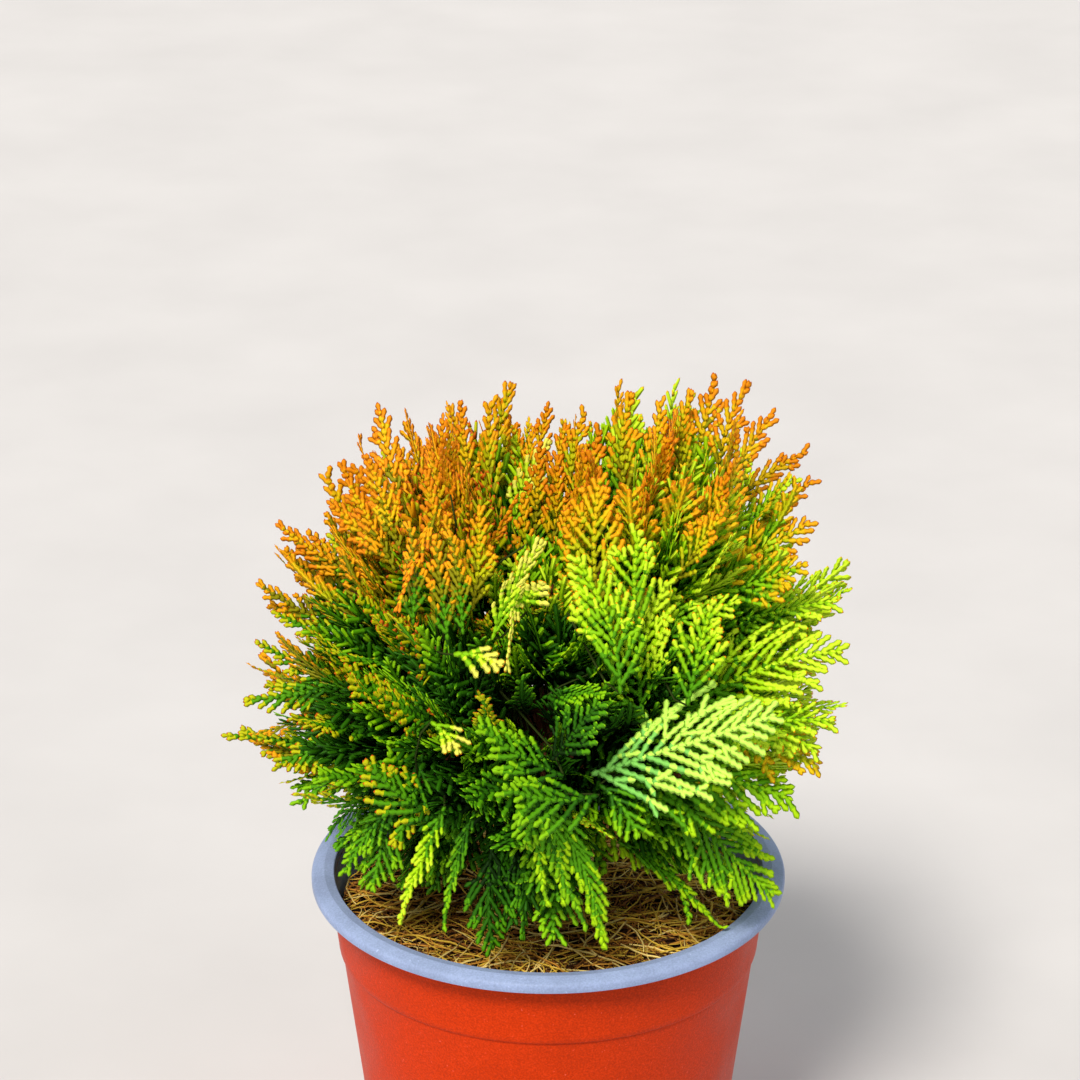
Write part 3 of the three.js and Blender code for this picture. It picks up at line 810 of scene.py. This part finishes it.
class ThujaMulchSettings(PropertyGroup):
    fibres: IntProperty(name="Fibres", description="Number of coir fibres", default=3000)
    chips: IntProperty(name="Chips", description="Number of bark chips", default=150)
    level: FloatProperty(name="Level", description="Height of the mulch", default=0.1215, unit="LENGTH")


class ThujaFoliageSettings(PropertyGroup):
    sprays: IntProperty(name="Sprays", description="Sprays on a mass of average width", default=34)
    seed: IntProperty(name="Seed", description="Seed of the branching rule", default=11)
    for leaf, code in LEAF_COLOURS.items():
        __annotations__["leaf_" + leaf] = FloatVectorProperty(
            name="Leaf " + leaf.replace("_", " "),
            description="Base colour of these scale leaves",
            subtype="COLOR",
            default=linear(code)[:3],
        )
    del leaf, code


class ThujaStageSettings(PropertyGroup):
    floor_size: FloatProperty(name="Floor size", description="Side of the floor", default=12.0, unit="LENGTH")
    focal_pixels: FloatProperty(name="Focal length", description="In the photograph's pixels", default=3500.0)


class ThujaSettings(PropertyGroup):
    pot: PointerProperty(type=ThujaPotSettings)
    mulch: PointerProperty(type=ThujaMulchSettings)
    foliage: PointerProperty(type=ThujaFoliageSettings)
    stage: PointerProperty(type=ThujaStageSettings)


def spin_profile(profile, steps):
    """A closed or axis-to-axis profile of (radius, height) points spun round the Z axis."""
    shape = bmesh.new()
    ring = [shape.verts.new((radius, 0, height)) for radius, height in profile]
    edges = [shape.edges.new(pair) for pair in zip(ring, ring[1:])]
    if profile[0][0] > 0:
        edges.append(shape.edges.new((ring[-1], ring[0])))
    bmesh.ops.spin(
        shape,
        geom=ring + edges,
        cent=(0, 0, 0),
        axis=(0, 0, 1),
        angle=2 * math.pi,
        steps=steps,
        use_merge=True,
    )
    bmesh.ops.remove_doubles(shape, verts=shape.verts, dist=1e-6)
    bmesh.ops.recalc_face_normals(shape, faces=shape.faces)
    return shape


def finish_bmesh(shape, name, smooth_angle=SMOOTH):
    """Shades a shape smooth up to an angle and makes it a mesh."""
    for face in shape.faces:
        face.smooth = True
    for edge in shape.edges:
        edge.smooth = edge.is_manifold and edge.calc_face_angle(0) < smooth_angle
    mesh = bpy.data.meshes.new(name)
    shape.to_mesh(mesh)
    shape.free()
    return mesh


class THUJA_OT_pot(Operator):
    """Makes the pot's wall, with its stacking ring and drain holes, and its rolled lip"""

    bl_idname = "thuja.pot"
    bl_label = "Pot"

    def execute(self, context):
        pot = settings().pot
        red = moulded_plastic("red_moulded_polypropylene", pot.wall_colour, 0.42, 0.72, 0.3)
        grey = moulded_plastic("grey_moulded_polypropylene", pot.lip_colour, 0.4, 0.4, 0.15)
        neck = pot.lip_radius - pot.lip_width + pot.wall
        ring, collar, base = neck - 0.0034, neck - 0.0015, pot.base_radius
        outside = [
            (base - 0.0018, 0.0),
            (base - 0.0009, 0.0003),
            (base - 0.0003, 0.0012),
            (base + 0.0001, 0.003),
            (base + (ring - base) * 0.33, RING_HEIGHT * 0.33),
            (base + (ring - base) * 0.66, RING_HEIGHT * 0.66),
            (ring, RING_HEIGHT - 0.0004),
            (ring + 0.0001, RING_HEIGHT),
            (ring + 0.0007, RING_HEIGHT + 0.0003),
            (ring + 0.0011, RING_HEIGHT + 0.0010),
            (ring + 0.0013, RING_HEIGHT + 0.0030),
            (collar, COLLAR_HEIGHT - 0.0040),
            (collar + 0.0004, COLLAR_HEIGHT),
            (collar + 0.0009, COLLAR_HEIGHT + 0.0040),
            (neck - 0.0002, COLLAR_HEIGHT + 0.0080),
            (neck, pot.height - pot.lip_depth - 0.0002),
        ]
        inside = [(radius - pot.wall, height) for radius, height in outside[:5:-1]]
        inside += [(base - pot.wall, 0.004), (base - 0.0028, FLOOR_THICKNESS)]
        floor_rings = [0.052, DRAIN_CIRCLE + DRAIN_RADIUS, DRAIN_CIRCLE - DRAIN_RADIUS, 0.03]
        under = [(0, 0)] + [(radius, 0.0) for radius in floor_rings[::-1]]
        over = [(radius, FLOOR_THICKNESS) for radius in floor_rings] + [(0, FLOOR_THICKNESS)]
        shape = spin_profile(under + outside + inside + over, pot.steps)
        self.drill(shape)
        for face in shape.faces:
            middle = face.calc_center_median()
            facing = face.normal.x * middle.x + face.normal.y * middle.y
            if (facing < 0 and middle.z > 0.003) or (face.normal.z > 0.5 and middle.z < 0.003):
                face.material_index = 1  # the inside is grey
        new_piece("pot_body", finish_bmesh(shape, "pot_body"), [red, grey], "pot_plastic", "pot_wall")
        self.lip(pot, grey)
        return {"FINISHED"}

    def drill(self, shape):
        """Opens the drain holes: faces under and over the base go, and the two edges are bridged."""
        sector = 360 / DRAIN_HOLES
        hole_width = sector * 3 / (settings().pot.steps // DRAIN_HOLES)
        near = FLOOR_THICKNESS / 4
        doomed = []
        for face in shape.faces:
            middle = face.calc_center_median()
            radius = math.hypot(middle.x, middle.y)
            level = middle.z < 0.002 and abs(face.normal.z) > 0.9
            in_row = abs(radius - DRAIN_CIRCLE) < DRAIN_RADIUS
            turn = math.degrees(math.atan2(middle.y, middle.x)) % sector
            if level and in_row and abs(turn - sector / 2) < hole_width / 2:
                doomed.append(face)
        bmesh.ops.delete(shape, geom=doomed, context="FACES_ONLY")
        holes = {}
        for edge in shape.edges:
            if edge.is_boundary:
                middle = (edge.verts[0].co + edge.verts[1].co) / 2
                turn = math.degrees(math.atan2(middle.y, middle.x)) % 360
                holes.setdefault(turn // sector, []).append(edge)
        for number, edges in holes.items():
            turn = math.radians((number + 0.5) * sector)
            centre = Vector((DRAIN_CIRCLE * math.cos(turn), DRAIN_CIRCLE * math.sin(turn), 0))
            for height in (0.0, FLOOR_THICKNESS):
                corners = {v for edge in edges for v in edge.verts if abs(v.co.z - height) < near}
                ordered = sorted(corners, key=lambda v: math.atan2(v.co.y - centre.y, v.co.x - centre.x))
                for place, v in enumerate(ordered):
                    way = 2 * math.pi * (place / len(ordered)) - math.pi
                    v.co.xy = centre.x + DRAIN_RADIUS * math.cos(way), centre.y + DRAIN_RADIUS * math.sin(way)
            bmesh.ops.bridge_loops(shape, edges=edges)
        bmesh.ops.recalc_face_normals(shape, faces=shape.faces)

    def lip(self, pot, grey):
        """The lip rolls out over the wall and down again. Its top slopes outwards, its inner edge inwards."""
        outer, top, thick = pot.lip_radius, pot.height, pot.wall
        inner = outer - pot.lip_width
        foot = top - pot.lip_depth
        skirt = [(0.0005, 0.0), (0.0001, 0.0002), (0.0, 0.0006), (0.0, 0.0022), (0.0002, 0.0028)]
        skirt += [(0.0005, 0.0032), (0.0010, 0.0036)]
        turns = [(outer - inward, foot + rise) for inward, rise in skirt] + [(outer - 0.0046, top)]
        turns += [(inner + 0.0004, top - 0.0006), (inner + 0.0001, top - 0.0009), (inner, top - 0.0014)]
        turns += [(inner, foot), (inner + thick, foot)]
        turns += [(inner + thick, top - 0.0019), (inner + thick + 0.0010, top - 0.0016)]
        turns += [(outer - 0.0046, top - 0.0013), (outer - 0.0020, top - 0.0019)]
        turns += [(outer - thick, foot + 0.0018), (outer - thick, foot)]
        shape = spin_profile(turns, LIP_STEPS)
        new_piece("pot_rim", finish_bmesh(shape, "pot_rim", CREASE), [grey], "lip_plastic", "pot_lip")


class THUJA_OT_mulch(Operator):
    """Fills the pot: peat mix, coir fibres and bark chips"""

    bl_idname = "thuja.mulch"
    bl_label = "Mulch"

    def execute(self, context):
        mulch = settings().mulch
        rng = np.random.default_rng(MULCH_SEED)
        peat = peat_material()
        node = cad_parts["growing_medium"]
        node.data.materials.clear()
        node.data.materials.append(peat)
        self.soil(peat, mulch.level)
        self.fibres(rng, mulch)
        self.chips(rng, mulch)
        return {"FINISHED"}

    def ground(self, x, y):
        """How far the mulch is heaved at a place, in mm."""
        broad = noise.noise(Vector((x * 0.09, y * 0.09, 1.7)))
        small = noise.noise(Vector((x * 0.4, y * 0.4, 4)))
        return 0.8 * broad + 0.35 * small

    def strewn(self, rng, reach):
        """A place dealt evenly over the fill, in mm."""
        return reach * math.sqrt(rng.uniform(0.0, 1.0)) * polar(rng.uniform(0, 2 * math.pi))

    def inside_wall(self, flat):
        """Draws places that lie beyond the wall in to it."""
        return flat * np.minimum(1, FILL_RADIUS / np.maximum(np.linalg.norm(flat, axis=1), 1e-6))[:, None]

    def soil(self, peat, level):
        """The crumbly surface: a disc of rings, heaved by noise, with a skirt down to the medium."""
        edge, foot = FILL_RADIUS * MM, level - 0.0032
        profile = [(0.0, foot), (edge, foot)]
        profile += [(edge * share, level) for share in np.linspace(1.0, 0.02, 44)]
        shape = spin_profile(profile + [(0.0, level)], 150)
        for v in shape.verts:
            if v.co.z > level - 0.001:
                x, y = v.co.x / MM, v.co.y / MM
                crumb = 0.5 * noise.noise(Vector((x * 0.9, y * 0.9, 2)))
                crumb += 0.3 * noise.noise(Vector((x * 2, y * 2, 2)))
                v.co.z += (self.ground(x, y) + crumb - 0.9) * MM
        new_piece("mulch_soil", finish_bmesh(shape, "mulch_soil"), [peat], "growing_medium", "mulch_mat")

    def fibres(self, rng, mulch):
        """Coir and straw: loose curved fibres in a few layers, joined."""
        materials = [fibre_material(f"coir_fibre_{i}", tone) for i, tone in enumerate(FIBRE_TONES, 1)]
        joined = Joined()
        level = mulch.level / MM
        steps = 7
        for number in range(mulch.fibres):
            straw = number % 7 == 0
            middle = self.strewn(rng, 73.5)
            length = rng.uniform(14, 38) if straw else rng.uniform(7, 26)
            heading = rng.uniform(0, math.pi)
            bend = rng.normal(0, 0.03) if straw else rng.normal(0, 0.11)
            s = np.linspace(-0.5, 0.5, steps) * length
            flat = np.cumsum(polar(heading + bend * s) * (length / (steps - 1)), 0)
            flat = self.inside_wall(flat + middle - flat.mean(0))
            layer = rng.uniform(1.2, 2.1) if straw else rng.uniform(0.0, 1.7)
            tilt = rng.normal(0, 0.03) * s
            height = np.array([level - 0.5 + self.ground(x, y) for x, y in flat])
            height += layer + np.abs(tilt) + 0.25 * np.sin(s * 0.5 + layer * 9)
            if (np.linalg.norm(flat, axis=1) < 8).any():
                height = np.minimum(height, level + 0.4)  # it passes low by the trunk
            thick = rng.uniform(0.3, 0.5) if straw else rng.uniform(0.15, 0.32)
            radii = thick * np.sin(np.linspace(0.35, math.pi - 0.35, steps)) ** 0.5
            tone = deal(rng, STRAW_SHARES if straw else COIR_SHARES)
            joined.add(*tube(np.column_stack([flat, height]) * MM, radii * MM, 3, tone))
        new_piece("mulch_fibres", mesh_from("mulch_fibres", joined), materials, "mulch")

    def chips(self, rng, mulch):
        """Flakes of bark between the fibres."""
        joined = Joined()
        for _ in range(mulch.chips):
            middle = self.strewn(rng, 72)
            heading = rng.uniform(0, math.pi)
            s = np.linspace(-0.5, 0.5, 5) * rng.uniform(1.5, 6.5)
            lying = mulch.level / MM - 0.2 + self.ground(*middle) + rng.uniform(0, 1.3)
            route = np.column_stack([middle + np.outer(s, polar(heading)), lying + rng.normal(0, 0.12) * s])
            radii = rng.uniform(0.5, 1.3) * np.array([0.35, 0.9, 1.0, 0.8, 0.3])
            places, corners, sizes, slots = tube(route, radii, 6)
            places[:, 2] = route[2, 2] + (places[:, 2] - route[2, 2]) * 0.55  # flat flakes
            places[:, :2] = self.inside_wall(places[:, :2])
            joined.add(places * MM, corners, sizes, slots)
        chip = bark_material("bark_flake", [(0.3, "1E0F08"), (0.55, "4B2614"), (0.75, "7A4526")])
        new_piece("mulch_chips", mesh_from("mulch_chips", joined, smooth=False), [chip], "bark")


class THUJA_OT_wood(Operator):
    """Makes the trunk and boughs with their bark's relief"""

    bl_idname = "thuja.wood"
    bl_label = "Trunk and boughs"

    def execute(self, context):
        rings = trunk_rings()
        stops = [(0.25, "2A140C"), (0.5, "59301D"), (0.65, "7E4A2C"), (0.85, "A87A52")]
        bark = bark_material("thuja_bark", stops)
        table = np.array([(*middle, radius) for middle, radius in rings])
        foot, top = table[0, 2], table[-1, 2]
        levels = np.linspace(foot, top, 70)
        x, y, radii = (np.interp(levels, table[:, 2], table[:, k]) for k in (0, 1, 3))
        places, corners, sizes, slots = tube(np.column_stack([x, y, levels]), radii, 40, relief=bark_relief)
        places[:, 2] = np.maximum(places[:, 2], foot)
        trunk = Joined()
        trunk.add(places * MM, corners, sizes, slots)
        new_piece("trunk_bark", mesh_from("trunk_bark", trunk), [bark], "bark", "trunk")
        boughs = Joined()
        share = np.linspace(0, 1, 30)
        radii = 2.2 - 0.75 * share + 1.2 * np.exp(-share * 14)
        for name in MASSES:
            foot, knee, high = bough_route(name, rings)
            route, _ = bezier((foot, foot + (knee - foot) * 0.7, high + (knee - high) * 0.7, high), share)
            boughs.add(*scaled(tube(route, radii, 16, relief=bark_relief)))
        nodes = ["bough_" + name for name in MASSES]
        new_piece("boughs_bark", mesh_from("boughs_bark", boughs), [bark], "bark", *nodes)
        return {"FINISHED"}


class THUJA_OT_foliage(Operator):
    """Grows twigs and scale-leaved sprays on from the boughs, to fill each mass to its outline"""

    bl_idname = "thuja.foliage"
    bl_label = "Twigs and sprays"

    def execute(self, context):
        foliage = settings().foliage
        rng = np.random.default_rng(foliage.seed)
        self.templates = {
            (kind, rings): [spray_template(rng, kind, rings) for _ in range(VARIANTS)]
            for kind in SPRAY_KINDS
            for rings in (1, 2)
        }
        self.kept_clear = [
            (np.array(base, float), np.array(tip, float), clear)
            for rows in LEADING_SPRAYS.values()
            for _, _, base, tip, _, clear in rows
            if clear
        ]
        self.solids = {name: tree_of("foliage_" + name) for name in MASSES}
        self.trunk = trunk_rings()
        self.twigs = Joined()
        colours = [leaf_material("leaf_" + name, getattr(foliage, "leaf_" + name)) for name in LEAF_COLOURS]
        for number, name in enumerate(MASSES):
            self.rng = np.random.default_rng(1000 * foliage.seed + number)
            self.leaves = Joined()
            self.grow_mass(name)
            mesh = mesh_from("leaves_" + name, self.leaves)
            new_piece("leaves_" + name, mesh, colours, "foliage_" + MASSES[name][1], "foliage_" + name)
        brown = bark_material("thuja_twig", [(0.3, "3A1D10"), (0.55, "6B3A20"), (0.8, "8C5A34")])
        # Young green twigs, their own green darkened towards the crown's shade so that they sink into it:
        # partly their real colour, partly painted shade
        young = linear("2E3C12")
        green = new_material("green_twig_in_painted_shade", base_color=young, roughness=0.8, specular_ior_level=0.1)[0]
        new_piece("twigs", mesh_from("twigs", self.twigs), [brown, green], "bark")
        return {"FINISHED"}

    def grow_mass(self, name):
        """A leader on from the bough's end, sprays all round to the mass's outline, and the leading ones."""
        at = corners_of("foliage_" + name)
        centre = (at.min(0) + at.max(0)) / 2
        self.outward = unit(centre - GLOBE)
        foot, knee, root = bough_route(name, self.trunk)
        end = centre + self.outward * 8
        reach = np.linalg.norm(end - root)
        self.leader = (root, root + unit(root - knee) * reach / 3, end - self.outward * reach / 3, end)
        route, _ = bezier(self.leader, np.linspace(0, 1, 9))
        self.twigs.add(*scaled(tube(route, np.linspace(1.5, 0.8, 9), 8)))
        width = np.linalg.norm(at - centre, axis=1).mean()
        count = settings().foliage.sprays * THICKNESS[MASSES[name][0]] * (width / MEAN_WIDTH) ** 2
        climb = self.outward[2]
        self.lift = 0.35 + 0.5 * max(0.0, climb) if climb > -0.3 else -0.45
        for number in range(2 * int(round(count))):
            self.fill(name, number, centre)
        for kind, tint, base, tip, face, _ in LEADING_SPRAYS.get(name, ()):
            template = self.templates[kind, 2][self.rng.integers(VARIANTS)]
            base, tip = np.array(base, float), np.array(tip, float)
            base = tip + (base - tip) * max(1.0, 0.92 * template["length"] / np.linalg.norm(base - tip))
            growth = unit(tip - base)
            sag = UP * (0.35 if growth[2] < 0 or kind == "fan" else -0.1)
            self.attach(template, base, tip, growth + sag, growth - sag, unit(face), 0.15, 0.06, 0.12, tint)

    def fill(self, name, number, centre):
        """Grows the next spray of a mass. Every second one stays inside, the others end at its outline."""
        rng = self.rng
        way, facing = self.next_way(number)
        place = self.solids[name].ray_cast(Vector(centre * MM), Vector(way))[0]
        inner = number % 2 == 1
        if place is None or (not inner and facing < -0.2 and number % 4):
            return
        depth = rng.uniform(0.5, 0.69) if inner else rng.uniform(0.95, 1.03)
        if not inner and rng.random() < 0.22:
            depth = rng.uniform(0.72, 0.92)
        tip = centre + (np.array(place) / MM - centre) * depth
        while depth > 0.5 and not self.grow_spray(name, tip, depth):
            tip, depth = centre + (tip - centre) * 0.8, depth * 0.8

    def hides_leading(self, points):
        """True where a spray would stand before one of the leading sprays that are kept clear."""
        for base, tip, clear in self.kept_clear:
            axis = tip - base
            flat = axis - VIEW * (axis @ VIEW)
            away = points - base
            share = np.clip((away - np.outer(away @ VIEW, VIEW)) @ flat / (flat @ flat), 0, 1)
            gap = away - np.outer(share, axis)
            before = -(gap @ VIEW)
            if ((before > -1) & (np.linalg.norm(gap + np.outer(before, VIEW), axis=1) < clear)).any():
                return True
        return False

    def overshoot(self, point):
        """How far a point lies outside all the masses, in mm, and the nearest place on them."""
        best, nearest = 1e9, None
        for solid in self.solids.values():
            place, normal, _, distance = solid.find_nearest(Vector(point * MM))
            if (Vector(point * MM) - place).dot(normal) < 0:
                return 0.0, place
            if distance < best:
                best, nearest = distance, place
        return best / MM, np.array(nearest) / MM

    def next_way(self, number):
        """The next of many directions spread evenly over the sphere, and how far it faces outwards."""
        z = 1 - 2 * ((number * GOLDEN + self.rng.uniform(0, 0.06)) % 1)
        turn = number * math.pi * (3 - math.sqrt(5)) * 1.7 + self.rng.uniform(-0.2, 0.2)
        level = math.sqrt(max(0.0, 1 - z * z))
        way = np.array([level * math.cos(turn), level * math.sin(turn), z])
        if way @ self.outward < -0.25:
            way = way - 2 * self.outward * (way @ self.outward)
        return way, way @ self.outward

    def grow_spray(self, name, tip, depth):
        """Lays one spray that ends at tip, at a share of the way to the mass's outline. False if it can't
        stand there without hiding a leading spray."""
        rng, outward, lift = self.rng, self.outward, self.lift
        habit = MASSES[name][0]
        kind = "inner" if depth < INNER else deal(rng, SPRAY_CHOICES[habit])
        template = self.templates[kind, 2 if depth > OUTER else 1][rng.integers(VARIANTS)]
        growth = unit(unit(tip - self.leader[0]) + UP * lift * 0.5 + outward * 0.15 + rng.normal(0, 0.15, 3))
        length = template["length"] * rng.uniform(0.92, 1.05)
        base = tip - growth * length
        tip_heading = growth + UP * lift * rng.uniform(0.2, 0.7)
        start_heading = growth - UP * lift * 0.3
        outer = unit(tip - FACED_FROM)
        face = outer - growth * (outer @ growth) + 0.5 * (UP - growth * growth[2])
        face = unit(face + rng.normal(0, 0.05, 3))
        roll = math.radians(rng.normal(0, ROLL[habit]))
        face = face * math.cos(roll) + np.cross(growth, face) * math.sin(roll)
        side = np.cross(face, growth) * template["half"] * 0.9
        middle = base + (tip - base) * 0.6
        if depth > INNER:
            for point in (tip, middle + side, middle - side):
                beyond, place = self.overshoot(point)
                if beyond > OVERSHOOT:
                    shift = unit(place - point) * (beyond - OVERSHOOT)
                    base, tip, middle = base + shift, tip + shift, middle + shift
            if self.hides_leading(np.array([tip, middle, middle + side * 0.7, middle - side * 0.7])):
                return False
        score = sun_score(tip, rng)
        # Sprays inside the crown are dealt darker tints: painted shade of the crown's inside
        if depth < OUTER:
            score -= 0.1 if depth > INNER else np.interp(tip[2], (250, 280), (0.34, 0.2))
        # Sprays in the hollow are dealt darker tints still: painted shade
        if np.linalg.norm(tip - HOLLOW) < HOLLOW_RADIUS:
            score -= 0.25
        tint = next(tint for limit, tint in SUN_SCALE if score < limit)
        if tip[0] < LEFT_SIDE:
            tint = LEFT_TINTS.get(tint, tint)
        twist, cup = rng.normal(0, 0.35), rng.normal(0.02, 0.1)
        droop = 0.22 if outward[2] < 0.2 else 0.08
        self.attach(template, base, tip, start_heading, tip_heading, face, twist, cup, droop, tint)
        return True

    def attach(self, template, base, tip, start_heading, tip_heading, face, twist, cup, droop, tint):
        """Lays a spray from base to tip, and a twig from the nearest place on its limb to its base."""
        start_heading, tip_heading = unit(start_heading), unit(tip_heading)
        longest = 1.06 * template["length"]
        span = np.linalg.norm(tip - base)
        if span > longest:
            base = tip + (base - tip) * longest / span
        third = np.linalg.norm(tip - base) / 3
        curve = (base, base + start_heading * third, tip - tip_heading * third, tip)
        lay_spray(self.leaves, template, curve, face, twist, cup, droop, tint, self.rng)
        limb, ways = bezier(self.leader, np.linspace(0, 0.9, 10))
        gaps = np.linalg.norm(limb - base, axis=1)
        near = gaps.argmin()
        if gaps[near] > TOUCHING:
            third = gaps[near] / 3
            inward = unit(unit(base - limb[near]) + start_heading)
            path = (limb[near], limb[near] + ways[near] * third, base - inward * third, base)
            route, _ = bezier(path, np.linspace(0, 1, 5))
            self.twigs.add(*scaled(tube(route, np.linspace(0.55, 0.4, 5), 3, 1)))


class THUJA_OT_stage(Operator):
    """Sets the camera, the pale floor and the soft studio light"""

    bl_idname = "thuja.stage"
    bl_label = "Stage"

    def execute(self, context):
        stage = settings().stage
        scene = context.scene
        lens = bpy.data.cameras.new("photo_camera")
        lens.sensor_width = SENSOR
        lens.lens = stage.focal_pixels / PHOTO_SIZE * SENSOR
        lens.clip_end = 100
        camera = bpy.data.objects.new("photo_camera", lens)
        camera.location = CAMERA_PLACE
        camera.rotation_euler = (math.radians(90 - LOOKS_DOWN), 0, 0)
        scene.collection.objects.link(camera)
        scene.camera = camera
        shape = bmesh.new()
        bmesh.ops.create_grid(shape, x_segments=1, y_segments=1, size=stage.floor_size / 2)
        mesh = bpy.data.meshes.new("studio_floor")
        shape.to_mesh(mesh)
        shape.free()
        floor = bpy.data.objects.new("studio_floor", mesh)
        mesh.materials.append(floor_material())
        scene.collection.objects.link(floor)
        for light in LIGHTS:
            self.sun(scene, *light)
        scene.world = bpy.data.worlds.new("studio_world")
        scene.world.use_nodes = True
        sky = scene.world.node_tree.nodes["Background"].inputs
        sky["Color"].default_value = linear("ECEBE8")
        sky["Strength"].default_value = 0.27
        scene.view_settings.view_transform = "Standard"
        return {"FINISHED"}

    def sun(self, scene, name, place, spread, strength, code):
        """A broad, soft source whose light falls evenly over the plant and the whole floor."""
        lamp = bpy.data.lights.new(name, "SUN")
        lamp.angle = math.radians(spread)
        lamp.energy = strength
        lamp.color = linear(code)[:3]
        made = bpy.data.objects.new(name, lamp)
        made.location = place
        made.rotation_euler = (-Vector(place)).to_track_quat("-Z", "Y").to_euler()
        scene.collection.objects.link(made)


class THUJA_PT_sidebar(Panel):
    bl_idname = "THUJA_PT_sidebar"
    bl_label = "Potted thuja"
    bl_space_type = "VIEW_3D"
    bl_region_type = "UI"
    bl_category = "Thuja"

    def draw(self, context):
        for operator in OPERATORS:
            self.layout.operator(operator.bl_idname)
        for name in ("pot", "mulch", "foliage", "stage"):
            group = getattr(context.scene.thuja, name)
            box = self.layout.box()
            for key in group.bl_rna.properties.keys():
                if key not in ("rna_type", "name"):
                    box.prop(group, key)


OPERATORS = (THUJA_OT_stage, THUJA_OT_pot, THUJA_OT_mulch, THUJA_OT_wood, THUJA_OT_foliage)
CLASSES = (
    ThujaPotSettings,
    ThujaMulchSettings,
    ThujaFoliageSettings,
    ThujaStageSettings,
    ThujaSettings,
    *OPERATORS,
    THUJA_PT_sidebar,
)


def register():
    """Registers the classes and puts the settings into the scene."""
    for kind in CLASSES:
        bpy.utils.register_class(kind)
    bpy.types.Scene.thuja = PointerProperty(type=ThujaSettings)


def unregister():
    """Takes the settings and the classes away again."""
    del bpy.types.Scene.thuja
    for kind in reversed(CLASSES):
        bpy.utils.unregister_class(kind)


def main():
    """Makes the whole plant and its stage."""
    register()
    bpy.ops.thuja.stage()
    bpy.ops.thuja.pot()
    bpy.ops.thuja.mulch()
    bpy.ops.thuja.wood()
    bpy.ops.thuja.foliage()
    bpy.context.view_layer.update()


if __name__ == "__main__":
    main()
